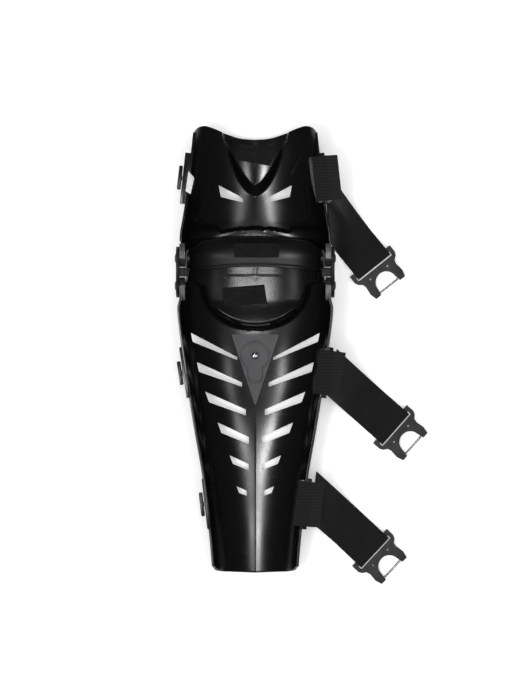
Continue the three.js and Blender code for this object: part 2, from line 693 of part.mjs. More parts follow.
// Webbing loop round a right slot bar, with its sewn tail hanging outwards
function addLoop(station) {
  const rim = rimFrame(station, 1);
  const [x0, x1] = [-barInset - loopSlack, barReach + loopSlack];
  const [z0, z1] = [rim.top - barHeight - loopSlack, rim.top + loopSlack];
  const t = loopThickness;
  const round = loopCorner;
  const outline = new THREE.Shape([
    [x0 - t, z0 - round], [x0 - round, z0 - t], [x1 + round, z0 - t], [x1 + t, z0 - round],
    [x1 + t, z1 - t], [x1 + tailReach, z1 - tailDrop], [x1 + tailReach + t, z1 - tailDrop + 2 * round],
    [x1 + t, z1 + round], [x1 + round, z1 + t], [x0 - round, z1 + t], [x0 - t, z1 + round],
  ].map(([x, z]) => new THREE.Vector2(x, z)));
  outline.holes.push(new THREE.Path([[x0, z0], [x0, z1], [x1, z1], [x1, z0]]
    .map(([x, z]) => new THREE.Vector2(x, z))));
  const loop = new THREE.ExtrudeGeometry(outline, { depth: loopWidth, bevelEnabled: false });
  loop.rotateX(Math.PI / 2).translate(0, loopWidth / 2, 0);
  addMesh(`loop_${station.name}`, shape([atRim(loop, rim)]), webbing);
}

// Plan frame of a buckle: v runs out along the strap from the middle of its near edge
function buckleFrame(station) {
  const rim = rimFrame(station, 1);
  const angle = -THREE.MathUtils.degToRad(station.angle);
  return {
    x: rim.x + station.out * strapRun,
    y: rim.y - station.down * strapRun,
    out: new THREE.Vector2(Math.cos(angle), Math.sin(angle)),
    angle,
  };
}

const barLow = strapThickness + 2 * fit;
const barTop = barLow + buckleThickness;

// Strap: a sheet from under the loop's tail down to the ground, round the buckle bar and back
function addStrap(station) {
  const rim = rimFrame(station, 1);
  const frame = buckleFrame(station);
  const across = new THREE.Vector2(-frame.out.y, frame.out.x);
  const half = strapThickness / 2;
  const levels = {
    ground: half,
    lapped: 3 * half + 2 * fit,
    over: barTop + fit + half + strapLift,
    'upper turn': barTop - 0.75 * strapThickness,
    'lower turn': barLow - 2 * fit,
    under: half,
  };
  const endPath = strapEnd.map(({ along, layer }) => [along * buckleBar, levels[layer]]);
  endPath.push([-foldBack, half]);
  const startX = rim.x + barReach + loopSlack + loopThickness + tailTuck;
  const tailSlope = (tailDrop - loopThickness) / (tailReach - loopThickness);
  const startHigh = rim.top + loopSlack - loopThickness - tailTuck * tailSlope - strapThickness - fit;
  const rampRows = 8;
  const rows = rampRows + endPath.length - 1;
  const point = (u, v) => {
    const side = (-u * strapWidth) / 2;
    const [baseX, baseY] = [frame.x + across.x * side, frame.y + across.y * side];
    const foot = endPath[0][0];
    const place = v * rows;
    if (place <= rampRows) {
      const t = place / rampRows;
      const toStart = startX + rim.slope * (baseY - rim.y) - baseX;
      const startAlong = toStart / (frame.out.x - rim.slope * frame.out.y);
      const pastTail = rim.y - loopWidth / 2 - (baseY + frame.out.y * startAlong);
      const start = startHigh - strapShed * Math.max(pastTail, 0);
      const along = startAlong + (foot - startAlong) * t;
      const z = endPath[0][1] + (start - endPath[0][1]) * (1 - t) ** rampCurve;
      return new THREE.Vector3(baseX + frame.out.x * along, baseY + frame.out.y * along, z);
    }
    const index = Math.min(Math.floor(place - rampRows), endPath.length - 2);
    const t = place - rampRows - index;
    const along = endPath[index][0] + (endPath[index + 1][0] - endPath[index][0]) * t;
    const z = endPath[index][1] + (endPath[index + 1][1] - endPath[index][1]) * t;
    return new THREE.Vector3(baseX + frame.out.x * along, baseY + frame.out.y * along, z);
  };
  addMesh(`strap_${station.name}`, ribbon(point, 4, rows), webbing);
}

// Ribbon of strapThickness with its middle face on point(u, v)
function ribbon(point, columns, rows) {
  const half = strapThickness / 2;
  const step = 0.35 / rows;
  const lifted = (u, v, offset) => {
    const alongU = point(1, v).sub(point(-1, v));
    const alongV = point(u, Math.min(v + step, 1)).sub(point(u, Math.max(v - step, 0)));
    const normal = alongU.cross(alongV).normalize();
    return point(u, v).addScaledVector(normal, offset);
  };
  const outer = (u, v) => lifted(u, v, -half);
  const geometry = gridWall(outer, strapThickness, columns, rows);
  const positions = geometry.attributes.position;
  for (let row = 0; row <= rows; row += 1) {
    for (let column = 0; column <= columns; column += 1) {
      const [u, v] = [-1 + (2 * column) / columns, row / rows];
      const at = 2 * (row * (columns + 1) + column);
      positions.setXYZ(at, ...lifted(u, v, -half).toArray());
      positions.setXYZ(at + 1, ...lifted(u, v, half).toArray());
    }
  }
  return geometry;
}

// Moulded hook buckle, tipped so that its prongs rest on the ground, and the steel pin across them
function addBuckle(station) {
  const frame = buckleFrame(station);
  const halfWidth = buckleWidth / 2;
  const outline = new THREE.Shape();
  const rightSide = buckleOutline.map(({ out, up }) => [out * halfWidth, up * buckleHeight]);
  outline.moveTo(...rightSide[0]);
  rightSide.slice(1).forEach(([x, y]) => outline.lineTo(x, y));
  outline.lineTo(buckleMouthRadius, buckleMouthUp);
  outline.absarc(0, buckleMouthUp, buckleMouthRadius, 0, Math.PI, true);
  [...rightSide].reverse().forEach(([x, y]) => outline.lineTo(-x, y));
  const halfSlot = buckleSlotWidth / 2;
  const slotEnd = buckleBar + buckleSlotHeight;
  outline.holes.push(new THREE.Path([[-halfSlot, buckleBar], [-halfSlot, slotEnd],
    [halfSlot, slotEnd], [halfSlot, buckleBar]].map(([x, y]) => new THREE.Vector2(x, y))));
  for (const { way } of sides) {
    const hole = new THREE.Path();
    hole.absarc(way * buckleHoleOut, buckleHoleUp, buckleHoleRadius, 0, 2 * Math.PI, true);
    outline.holes.push(hole);
  }
  const plate = new THREE.ExtrudeGeometry(outline,
    { depth: buckleThickness, bevelEnabled: false, curveSegments: 6 });
  const pinAt = [pinUp, buckleThickness / 2];
  const bore = crossRod(pinRadius + fit, -pinLength / 2 - fit, pinLength / 2 + fit, ...pinAt, 8);
  const pin = crossRod(pinRadius, -pinLength / 2, pinLength / 2, ...pinAt, 10);
  const tip = -Math.atan((barLow - fit) / buckleHeight);
  const settle = (geometry) => geometry.rotateX(tip).translate(0, 0, barLow)
    .rotateZ(frame.angle - Math.PI / 2).translate(frame.x, frame.y, 0);
  addMesh(`buckle_${station.name}`, settle(shape([plate], [bore])), bucklePlastic);
  addMesh(`pin_${station.name}`, settle(pin), steel);
}

addThighPlate();
addKneePlate();
addShinPlate();
addBadge();
addPatches();
addLinks();
addRivets();
for (const station of strapStations) {
  addStud(station);
  addLoop(station);
  addStrap(station);
  addBuckle(station);
}

// The origin is on the ground under the middle of the whole guard
const extent = new THREE.Box3().setFromObject(guard);
const middle = extent.getCenter(new THREE.Vector3());
guard.position.set(-middle.x, -middle.y, -extent.min.z);

export default guard;
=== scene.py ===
"""Motorcycle knee guard: satin moulded shells on side links, hook-and-loop patches and buckled straps.

The guard lies on its outer face with its hollow up and its thigh end towards +Y. Metres throughout.
"""

import json
import math

import bmesh
import bpy
from mathutils import Matrix, Vector


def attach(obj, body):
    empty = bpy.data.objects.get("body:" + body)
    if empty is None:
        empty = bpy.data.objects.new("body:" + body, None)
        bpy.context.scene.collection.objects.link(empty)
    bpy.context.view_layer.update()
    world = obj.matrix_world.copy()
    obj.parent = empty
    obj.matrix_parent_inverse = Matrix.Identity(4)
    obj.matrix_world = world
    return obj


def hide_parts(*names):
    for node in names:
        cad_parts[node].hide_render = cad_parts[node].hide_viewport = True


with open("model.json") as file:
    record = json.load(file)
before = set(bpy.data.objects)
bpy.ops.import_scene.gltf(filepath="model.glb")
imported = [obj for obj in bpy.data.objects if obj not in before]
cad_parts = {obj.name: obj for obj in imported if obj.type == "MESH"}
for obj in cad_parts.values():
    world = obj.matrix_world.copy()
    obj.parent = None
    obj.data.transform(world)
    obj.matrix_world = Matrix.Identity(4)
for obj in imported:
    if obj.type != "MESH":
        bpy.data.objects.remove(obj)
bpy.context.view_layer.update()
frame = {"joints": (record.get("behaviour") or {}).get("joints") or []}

# The two pivots of the side links place everything: x is measured from the middle of the guard,
# y from the lower pivot towards the thigh, z from the ground
pivots = {joint["name"]: Vector(joint["pos_m"]) for joint in frame["joints"]}
middle_x = pivots["lower_pivot"].x
lower_y = pivots["lower_pivot"].y
knee_y = pivots["upper_pivot"].y - lower_y
pivot_height = pivots["lower_pivot"].z

# Shells
thigh_length = 0.145
shin_length = 0.318
knee_half_width = 0.0828
rim_height = 0.060
shell_wall = 0.0026
bowl_depth = 0.009
bowl_half_width = 0.056
bowl_reach = 0.044
bowl_step = 0.12
bowl_flare = 2.2
channel_depth = 0.009
channel_half_width = 0.0345
channel_length = 0.0495
channel_land = 0.0125
channel_land_half = 0.0355
channel_wall_run = 0.003
channel_blunt = 1.6
riser_height = 0.004
riser_run = 0.003
riser_reach = 0.0369
riser_sag = 0.004
riser_half_width = 0.037
riser_wing_reach = 0.0418
riser_turn = 0.006
shin_overlap = 0.026
shin_wing_gap = 0.002
thigh_overlap = 0.003
wing_rise = 0.015
rim_rounding = 0.0005
sheet_rounding = 0.0004
thin_rounding = 0.0003

# Shares of a section from which the ends of a shell turn up into its wings
thigh_wing_start = 0.8
shin_wing_start = 0.72
plate_wing_start = 0.7

# Knee plate and hinges
plate_wall = 0.0024
plate_half_width = 0.0765
plate_taper = 0.006
plate_taper_start = 0.004
plate_reach_up = 0.026
plate_reach_down = 0.008
plate_sweep = 0.007
plate_clearance = 0.001
plate_power = 3.0
plate_crown = 0.3
plate_bead = {"up": 0.0018, "half_width": 0.0016, "height": 0.0005}
boss_thickness = 0.0046
lug_thickness = 0.003
lug_radius = 0.0095
boss_radius = lug_radius - 0.001
lug_tongue = 0.016
lug_tongue_half = 0.9 * lug_radius
lug_pad = 0.003
spacer_inside = 0.0725
spacer_half_length = 0.0049
spacer_half_height = 0.006
link_thickness = 0.0035
link_radius = 0.013
link_waist = 0.0025
rivet_radius = 0.0026
rivet_head_radius = 0.005
rivet_head_height = 0.0014
pivot_hole_reach = 0.012
link_rounding = 0.0007
fit = 0.0003

# Inserts
badge_width = 0.053
badge_length = 0.078
badge_thickness = 0.002
badge_top = -0.167 * shin_length
badge_tip = 0.0005
badge_seat = shell_wall + fit + 0.0002
badge_ring = {"radius": 0.0155, "tail": 0.022, "draw": 1.9, "half_width": 0.0011, "depth": 0.0006}
screw_y = badge_top - 0.3 * badge_length
screw_head_radius = 0.004
screw_head_height = 0.0018
screw_radius = 0.0015
screw_end = 0.0002
screw_cross = {"length": 0.0042, "width": 0.0008, "turn": 0.35}
patch_thickness = 0.0016
patch_seat = 0.0007

# Straps and their hardware
bar_length = 0.056
bar_height = 0.006
bar_reach = 0.005
bar_inset = 0.0028
bar_rounding = 0.0009
slope_step = 0.005
slot_height = 0.010
slot_clearance = 0.0005
STUD_WINDOW = [(-0.0729, 0.0946), (-0.0666, 0.088), (-0.0707, 0.0697), (-0.076, 0.0726)]
cap_length = 0.026
cap_thickness = 0.004
cap_height = 0.013
cap_rounding = 0.0011
post_radius = 0.0028
post_length = 0.0005
loop_width = 0.049
loop_thickness = 0.002
loop_slack = 0.0004
loop_bulge = 0.0042
loop_rounding = 0.0006
loop_corner = 0.3 * loop_thickness
tail_reach = 0.012
tail_drop = 0.010
strap_width = 0.045
strap_run = 0.1
tail_tuck = 0.0015
strap_lift = 0.0002
strap_shed = 0.4
strap_tuck = 0.0068
strap_tuck_share = 0.7
strap_thickness = 0.0016
ramp_curve = 1.7
ramp_foot = 5.4
lap_share = 0.35
ramp_steps, rise_steps, turn_steps = 60, 14, 14
turn_squash = 0.45
turn_centre = 1.62
fold_back = 0.017
buckle_width = 0.0565
buckle_height = 0.0376
buckle_thickness = 0.0045
buckle_slot_width = 0.0476
buckle_slot_height = 0.0052
buckle_bar = 0.005
buckle_mouth_radius = 0.0121
buckle_hole_radius = 0.0011
buckle_hole_out = 0.0119
buckle_hole_up = 0.0165
buckle_mouth_up = 0.030
pin_up = 0.035
pin_radius = 0.0013
pin_length = 0.031
pin_lip = 0.25 * pin_radius
buckle_slot_rounding = 0.0012
buckle_rounding = 0.0007
buckle_cut_reach = 0.01

# Heights of the buckle's bar, over the strap's turned end
bar_low = strap_thickness + 2 * fit
bar_top = bar_low + buckle_thickness

# Folds sharper than these stay sharp in the shading, or are rounded on a buckle and on a rim
sharp_angle = math.radians(35)
buckle_angle = math.radians(40)
rim_angle = math.radians(55)

SIDES = {"left": -1, "right": 1}

# at is a share of the shell's length, width of knee_half_width, rim of rim_height and keel of bowl_depth.
# power is the roundness of the section and crease its V share
THIGH_SECTIONS = [
    {"at": -0.1, "width": 1.0, "rim": 1.0, "keel": 0.3, "power": 3.2, "crease": 0.01},
    {"at": 0.17, "width": 0.992, "rim": 1.0, "keel": 0.3, "power": 3.0, "crease": 0.02},
    {"at": 0.3, "width": 0.955, "rim": 0.99, "keel": 0.5, "power": 2.2, "crease": 0.03},
    {"at": 0.45, "width": 0.915, "rim": 0.97, "keel": 0.9, "power": 2.0, "crease": 0.04},
    {"at": 0.6, "width": 0.885, "rim": 0.94, "keel": 1.3, "power": 1.8, "crease": 0.05},
    {"at": 0.8, "width": 0.847, "rim": 0.9, "keel": 1.7, "power": 1.8, "crease": 0.05},
    {"at": 1.0, "width": 0.81, "rim": 0.86, "keel": 1.9, "power": 1.8, "crease": 0.05},
]
SHIN_SECTIONS = [
    {"at": -0.1, "width": 1.0, "rim": 1.0, "keel": 1.0, "power": 3.2, "crease": 0.0},
    {"at": 0.045, "width": 1.0, "rim": 1.0, "keel": 1.0, "power": 3.2, "crease": 0.0},
    {"at": 0.08, "width": 1.026, "rim": 0.99, "keel": 1.0, "power": 2.8, "crease": 0.0},
    {"at": 0.21, "width": 0.972, "rim": 0.94, "keel": 1.0, "power": 2.4, "crease": 0.0},
    {"at": 0.367, "width": 0.884, "rim": 0.87, "keel": 0.9, "power": 2.4, "crease": 0.03},
    {"at": 0.498, "width": 0.804, "rim": 0.81, "keel": 0.75, "power": 2.3, "crease": 0.12},
    {"at": 0.654, "width": 0.702, "rim": 0.74, "keel": 0.5, "power": 2.2, "crease": 0.16},
    {"at": 0.841, "width": 0.618, "rim": 0.68, "keel": 0.2, "power": 2.1, "crease": 0.14},
    {"at": 1.0, "width": 0.564, "rim": 0.64, "keel": 0.0, "power": 2.0, "crease": 0.12},
]

# at is the share of the half width, reach the share of the shell's length
THIGH_TOP_EDGE = [
    {"at": 0, "reach": 0.913},
    {"at": 0.25, "reach": 0.922},
    {"at": 0.47, "reach": 0.95},
    {"at": 0.8, "reach": 1.0},
    {"at": 0.93, "reach": 0.99},
    {"at": 1, "reach": 0.945},
]
SHIN_BOTTOM_EDGE = [
    {"at": 0, "reach": 1.0},
    {"at": 0.6, "reach": 0.994},
    {"at": 0.92, "reach": 0.986},
    {"at": 1, "reach": 0.968},
]

# Chevron slots: y columns are shares of shin_length, x columns of knee_half_width
CHEVRON_SLOTS = [
    {"out_x": 0.856, "out_top": 0.162, "out_low_x": 0.832, "out_low": 0.193,
     "in_x": 0.239, "in_top": 0.247, "in_low": 0.257},
    {"out_x": 0.778, "out_top": 0.263, "out_low_x": 0.75, "out_low": 0.297,
     "in_x": 0.178, "in_top": 0.335, "in_low": 0.35},
    {"out_x": 0.667, "out_top": 0.366, "out_low_x": 0.616, "out_low": 0.403,
     "in_x": 0.127, "in_top": 0.429, "in_low": 0.45},
    {"out_x": 0.504, "out_top": 0.473, "out_low_x": 0.453, "out_low": 0.51,
     "in_x": 0.086, "in_top": 0.525, "in_low": 0.55},
    {"out_x": 0.345, "out_top": 0.588, "out_low_x": 0.301, "out_low": 0.618,
     "in_x": 0.09, "in_top": 0.619, "in_low": 0.641},
    {"out_x": 0.252, "out_top": 0.696, "out_low_x": 0.217, "out_low": 0.72,
     "in_x": 0.114, "in_top": 0.713, "in_low": 0.731},
]
slot_rounding = 0.0009
clear_run = 0.02

# Thigh vent: x is a share of knee_half_width, y of thigh_length. Bowl vent: of bowl_half_width, bowl_reach
THIGH_VENT = [(0.488, 0.56), (0.209, 0.481), (0.158, 0.454), (0.169, 0.433), (0.46, 0.472)]
BOWL_VENT = [(0.86, 0.6), (0.78, 0.56), (0.28, 0.94), (0.3, 1.03)]
pocket_floor = 0.0007
bowl_dish = 0.0022
bowl_dish_start = 0.014
bowl_dish_inset = 1.1

# Patch corners: x is a share of knee_half_width, y of the length that the patch lies along
THIGH_PATCH = [(-0.225, 0.755), (0.19, 0.712), (0.28, 0.85), (-0.202, 0.88)]
KNEE_PATCH = [(-0.28, 0.08), (0.31, 0.08), (0.31, 0.68), (-0.28, 0.68)]
BOWL_PATCH = [(-0.42, -0.071), (0.163, -0.059), (0.121, 0.007), (-0.437, -0.004)]

# Strap stations: shell is the body too, at is a share of the shell's length, out and down place the
# buckle in shares of strap_run, angle is the strap's slope on the ground below horizontal in degrees,
# and stud_reach is how far the stud's bar stands out, as a share of bar_reach
STATIONS = {
    "thigh": {"shell": "thigh", "at": 0.596, "out": 0.536, "down": 0.88, "angle": 51.5,
              "stud_reach": 1.2},
    "shin_upper": {"shell": "shin", "at": 0.298, "out": 0.73, "down": 0.58, "angle": 41.5,
                   "stud_reach": 0.5},
    "shin_lower": {"shell": "shin", "at": 0.751, "out": 0.725, "down": 0.51, "angle": 43,
                   "stud_reach": 0.3},
}

# Buckle outline on one side: (share of half the width, share of the height)
BUCKLE_OUTLINE = [
    (1.0, 0.0), (1.0, 0.25), (0.93, 0.35), (0.79, 0.43), (0.75, 0.55), (0.79, 0.8), (0.72, 1.0),
    (0.48, 1.0),
]

# Turned heads: (share of the head's radius, share of its height)
RIVET_HEAD = [(0, 1), (0.5, 0.93), (0.85, 0.6), (1, 0.15)]
RIVET_TALL_HEAD = [(0, 2), (0.5, 1.93), (0.85, 1.5), (1, 0.7)]
SCREW_HEAD = [(1, 0), (1, 0.35), (0.93, 0.68), (0.72, 0.9), (0.4, 0.99), (0, 1)]


def smooth(value, low, high):
    share = min(max((value - low) / (high - low), 0.0), 1.0)
    return share * share * (3 - 2 * share)


def crisp(value, low, high):
    """Straight ramp from 0 to 1 with its two corners a little rounded"""
    share = min(max((value - low) / (high - low), 0.0), 1.0)
    return 0.7 * share + 0.3 * share * share * (3 - 2 * share)


def read_table(rows, column, at):
    """Value of a column between the table's rows, on a smooth curve"""
    last = len(rows) - 1
    low = 0
    while low < last - 1 and at > rows[low + 1]["at"]:
        low += 1

    def slope(index):
        before, after = rows[max(index - 1, 0)], rows[min(index + 1, last)]
        return (after[column] - before[column]) / (after["at"] - before["at"])

    span = rows[low + 1]["at"] - rows[low]["at"]
    t = min(max((at - rows[low]["at"]) / span, 0.0), 1.0)
    rise = rows[low + 1][column] - rows[low][column]
    start, end = slope(low) * span, slope(low + 1) * span
    bend = t * t * (3 * rise - 2 * start - end) + t * t * t * (start + end - 2 * rise)
    return rows[low][column] + t * start + bend


def place(x, y, z):
    """Point of the guard in the row frame"""
    return Vector((middle_x + x, lower_y + y, z))


def section_height(across, power, crease):
    share = min(abs(across), 1.0)
    return (1 - crease) * (1 - (1 - share**power) ** (1 / power)) + crease * share


def channel_share(x, up):
    """How much of the U channel of the thigh shell a point is in, from 0 to 1, with crisp edges"""
    above = up - (thigh_length * THIGH_TOP_EDGE[0]["reach"] - channel_length)
    inner = channel_length * (abs(x) / channel_half_width) ** channel_blunt
    outer = (channel_length + channel_land) * (x / channel_land_half) ** 2 - channel_land
    return crisp(above, outer, max(inner, outer + channel_wall_run))


def riser_top(x):
    """Height of the riser's top above the upper pivot: an arc in the middle, level in the wings"""
    arc = riser_reach - riser_sag * min(abs(x) / riser_half_width, 1) ** 2
    wing = smooth(abs(x), riser_half_width, riser_half_width + riser_turn)
    return arc + (riser_wing_reach - arc) * wing


def bowl_share(x, down):
    """How much of the knee bowl of the shin shell a point is in, from 0 to 1"""
    half_width = bowl_half_width + max(-down, 0) * bowl_flare
    radius = math.hypot(x / half_width, max(down, 0) / bowl_reach)
    return 1 - crisp(radius, 1, 1 + bowl_step)


class ThighSurface:
    """Outer face of the thigh shell: along runs up from the upper pivot"""

    length = thigh_length

    @staticmethod
    def y(along):
        return knee_y + along

    @staticmethod
    def half_width(along):
        return knee_half_width * read_table(THIGH_SECTIONS, "width", along / thigh_length)

    @staticmethod
    def rim(along):
        return rim_height * read_table(THIGH_SECTIONS, "rim", along / thigh_length)

    @classmethod
    def height(cls, x, along, plain=False):
        at = along / thigh_length
        keel = bowl_depth * read_table(THIGH_SECTIONS, "keel", at)
        if not plain:
            run = riser_run * (1 + 2 * smooth(abs(x), riser_half_width, riser_half_width + riser_turn))
            keel += riser_height * crisp(along, riser_top(x) - run, riser_top(x))
            keel -= channel_depth * channel_share(x, along)
        power = read_table(THIGH_SECTIONS, "power", at)
        crease = read_table(THIGH_SECTIONS, "crease", at)
        return keel + (cls.rim(along) - keel) * section_height(x / cls.half_width(along), power, crease)


class ShinSurface:
    """Outer face of the shin shell: along runs down from the lower pivot"""

    length = shin_length

    @staticmethod
    def y(along):
        return -along

    @staticmethod
    def half_width(along):
        return knee_half_width * read_table(SHIN_SECTIONS, "width", along / shin_length)

    @staticmethod
    def rim(along):
        return rim_height * read_table(SHIN_SECTIONS, "rim", along / shin_length)

    @classmethod
    def height(cls, x, along, plain=False):
        at = along / shin_length
        sunk = 0.5 if plain else bowl_share(x, along)
        keel = bowl_depth * (read_table(SHIN_SECTIONS, "keel", at) - sunk)
        power = read_table(SHIN_SECTIONS, "power", at)
        crease = read_table(SHIN_SECTIONS, "crease", at)
        return keel + (cls.rim(along) - keel) * section_height(x / cls.half_width(along), power, crease)


class PlateSurface:
    """Outer face of the knee plate: an arc round the upper pivot"""

    @staticmethod
    def half_width(along):
        tapered = smooth(along, plate_taper_start, plate_reach_up * (1 - plate_crown))
        return plate_half_width - plate_taper * tapered

    @classmethod
    def height(cls, x, along, plain=False):
        keel = THIGH_SECTIONS[0]["keel"] * bowl_depth + shell_wall + plate_clearance
        radius = pivot_height - keel
        lift = radius - math.sqrt(radius**2 - along**2) if along > 0 else 0.0
        low = keel + lift
        high = pivot_height + lug_radius
        return low + (high - low) * section_height(x / cls.half_width(along), plate_power, 0)


def cad_column(across):
    """Place of a point of a section on the evenly spread columns that the end edges are drawn over"""
    return 1 - (1 - min(abs(across), 1.0)) ** (1 / 1.4)


def steep_columns(u):
    """Spreads a grid's columns over a section, with more of them on the steep wall near the rim"""
    return math.copysign(1 - (1 - abs(u)) ** 1.8, u)


def thigh_place(across, v):
    low = thigh_overlap + wing_rise * smooth(cad_column(across), thigh_wing_start, 1)
    high = thigh_length * read_table(THIGH_TOP_EDGE, "reach", abs(across))
    along = low + (high - low) * v
    return ThighSurface.half_width(along) * across, along


def shin_place(across, v):
    drop = shin_overlap + link_radius + shin_wing_gap
    top = shin_overlap - drop * smooth(cad_column(across), shin_wing_start, 1)
    bottom = -shin_length * read_table(SHIN_BOTTOM_EDGE, "reach", abs(across))
    along = -(bottom + (top - bottom) * v)
    return ShinSurface.half_width(along) * across, along


def plate_place(across, v):
    side = smooth(cad_column(across), plate_wing_start, 1)
    high = plate_reach_up * (1 - plate_crown * across**2) * (1 - side) + lug_radius * side
    low = -(plate_reach_down + plate_sweep * across**2) * (1 - side) - lug_radius * side
    along = low + (high - low) * v
    return PlateSurface.half_width(along) * across, along


def link_object(name, bm):
    mesh = bpy.data.meshes.new(name)
    bm.to_mesh(mesh)
    bm.free()
    piece = bpy.data.objects.new(name, mesh)
    bpy.context.scene.collection.objects.link(piece)
    return piece


def bake_modifiers(piece):
    depsgraph = bpy.context.evaluated_depsgraph_get()
    plain = piece.data
    made = bpy.data.meshes.new_from_object(piece.evaluated_get(depsgraph), depsgraph=depsgraph)
    piece.modifiers.clear()
    piece.data = made
    bpy.data.meshes.remove(plain)
    made.name = piece.name


def combine(piece, bm, operation):
    """Joins or cuts a piece with the closed solids of a bmesh"""
    other = link_object("tool", bm)
    modifier = piece.modifiers.new("combine", "BOOLEAN")
    modifier.operation = operation
    modifier.solver = "EXACT"
    modifier.object = other
    bake_modifiers(piece)
    tool_mesh = other.data
    bpy.data.objects.remove(other)
    bpy.data.meshes.remove(tool_mesh)


def bevel_edges(bm, edges, width, segments=2):
    bmesh.ops.bevel(bm, geom=edges, offset=width, affect="EDGES", segments=segments, profile=0.5,
                    material=-1, clamp_overlap=True)


def round_rims(bm, width):
    bevel_edges(bm, [edge for edge in bm.edges if edge.calc_face_angle(0) > rim_angle], width)


def add_prism(bm, outline, depth, rounding=0.0, segments=3):
    """Closed prism over an outline of points, swept by the vector depth, with its long edges rounded"""
    verts = [bm.verts.new(point) for point in outline]
    face = bm.faces.new(verts)
    grown = bmesh.ops.extrude_face_region(bm, geom=[face])["geom"]
    far = {item for item in grown if isinstance(item, bmesh.types.BMVert)}
    bmesh.ops.translate(bm, verts=list(far), vec=depth)
    near = set(verts)
    bmesh.ops.recalc_face_normals(bm, faces=list({f for vert in near | far for f in vert.link_faces}))
    if rounding:
        long_edges = [edge for vert in verts for edge in vert.link_edges if edge.other_vert(vert) in far]
        bevel_edges(bm, long_edges, rounding, segments)
    return near | far


def add_box(bm, span_x, span_y, span_z, matrix, rounding=0.0):
    """Box between the given spans, bevelled all round, placed by a matrix"""
    made = bmesh.ops.create_cube(bm, size=1)["verts"]
    for vert in made:
        vert.co = Vector([low + (high - low) * (share + 0.5)
                          for share, (low, high) in zip(vert.co, (span_x, span_y, span_z))])
    if rounding:
        edges = list({edge for vert in made for edge in vert.link_edges})
        faces = bmesh.ops.bevel(bm, geom=edges, offset=rounding, affect="EDGES", segments=3, profile=0.5,
                                material=-1)["faces"]
        made = list({vert for face in faces for vert in face.verts})
    bmesh.ops.transform(bm, matrix=matrix, verts=made)


def add_rod(bm, radius, start, end, segments=32):
    """Closed rod between two points"""
    run = end - start
    turn = run.to_track_quat("Z", "Y").to_matrix().to_4x4()
    bmesh.ops.create_cone(bm, cap_ends=True, segments=segments, radius1=radius, radius2=radius,
                          depth=run.length, matrix=Matrix.Translation((start + end) / 2) @ turn)


def shin_rows(v):
    """Spreads the shin's rows: closer together in the bowl, which has the finer forms"""
    long_share, row_share = 0.78, 0.54
    if v < row_share:
        return v / row_share * long_share
    return long_share + (v - row_share) / (1 - row_share) * (1 - long_share)


def grid_wall(bm, columns, rows, lower, upper, rounding, column_place=float, row_place=float):
    """Closed wall between two faces, each a function of u from -1 to 1 and v from 0 to 1"""
    share_u = bm.verts.layers.float.new("u")
    share_v = bm.verts.layers.float.new("v")
    bmesh.ops.create_grid(bm, x_segments=columns, y_segments=rows, size=1)
    for vert in bm.verts:
        vert[share_u] = column_place(vert.co.x)
        vert[share_v] = row_place((vert.co.y + 1) / 2)
    near = list(bm.verts)
    grown = bmesh.ops.extrude_face_region(bm, geom=list(bm.faces))["geom"]
    far = [item for item in grown if isinstance(item, bmesh.types.BMVert)]
    for verts, face in ((near, lower), (far, upper)):
        for vert in verts:
            vert.co = face(vert[share_u], vert[share_v])
    bmesh.ops.recalc_face_normals(bm, faces=bm.faces)
    round_rims(bm, rounding)
    return share_u, share_v


def surface_point(surface, x, along, lift):
    """Point over the outer face of a shell, lifted straight up"""
    y = -along if surface is ShinSurface else knee_y + along
    return place(x, y, surface.height(x, along) + lift)


def surface_normal(surface, x, along, up_y):
    """Normal of a shell's plain surface, towards the leg. up_y is the way that along runs in y"""
    step = 0.0004
    near_rim = surface.half_width(along) - step
    x = min(max(x, -near_rim), near_rim)
    slope_x = surface.height(x + step, along, plain=True) - surface.height(x - step, along, plain=True)
    slope_y = surface.height(x, along + step, plain=True) - surface.height(x, along - step, plain=True)
    return Vector((-slope_x, -slope_y * up_y, 2 * step)).normalized()


def make_shell(name, surface, place_on_shell, wall, relief, columns, rows, row_place=float):
    """Shell of a wall's thickness over a surface, with its low relief on the leg side"""
    up_y = -1 if surface is ShinSurface else 1

    def outer(across, v):
        x, along = place_on_shell(across, v)
        return surface_point(surface, x, along, 0)

    def inner(across, v):
        x, along = place_on_shell(across, v)
        normal = surface_normal(surface, x, along, up_y)
        return outer(across, v) + normal * (wall + relief(x, along))

    bm = bmesh.new()
    grid_wall(bm, columns, rows, outer, inner, rim_rounding, steep_columns, row_place)
    return link_object(name, bm)


def rim_frame(station, side):
    """Matrix and slope of the rim of a shell at a strap station: x out, y along the rim, z up"""
    surface = ThighSurface if station["shell"] == "thigh" else ShinSurface
    along = station["at"] * surface.length
    ends = along - slope_step, along + slope_step
    near, far = [surface.half_width(end) for end in ends]
    slope = (far - near) / (surface.y(ends[1]) - surface.y(ends[0]))
    x, y = side * surface.half_width(along), surface.y(along)
    turn = Matrix.Rotation(side * -math.atan(slope) + (math.pi if side < 0 else 0), 4, "Z")
    return {"x": x, "y": y, "top": surface.rim(along), "slope": slope,
            "matrix": Matrix.Translation(place(x, y, 0)) @ turn}


def add_bar(bm, rim, reach):
    """Bar along the rim that carries a strap's loop or a stud"""
    add_box(bm, (-bar_inset, reach), (-bar_length / 2, bar_length / 2),
            (rim["top"] - bar_height, rim["top"]), rim["matrix"], bar_rounding)


def add_strap_slot(bm, station):
    """Cutter for the upright slot through the wall beside a bar"""
    rim = rim_frame(station, 1)
    half = loop_width / 2 + slot_clearance
    add_box(bm, (-bar_inset - slot_height, bar_reach + clear_run), (-half, half),
            (rim["top"] - bar_height - slot_height, rim["top"] + clear_run), rim["matrix"])


def add_bars(bm, station):
    add_bar(bm, rim_frame(station, 1), bar_reach)
    add_bar(bm, rim_frame(station, -1), station["stud_reach"] * bar_reach)


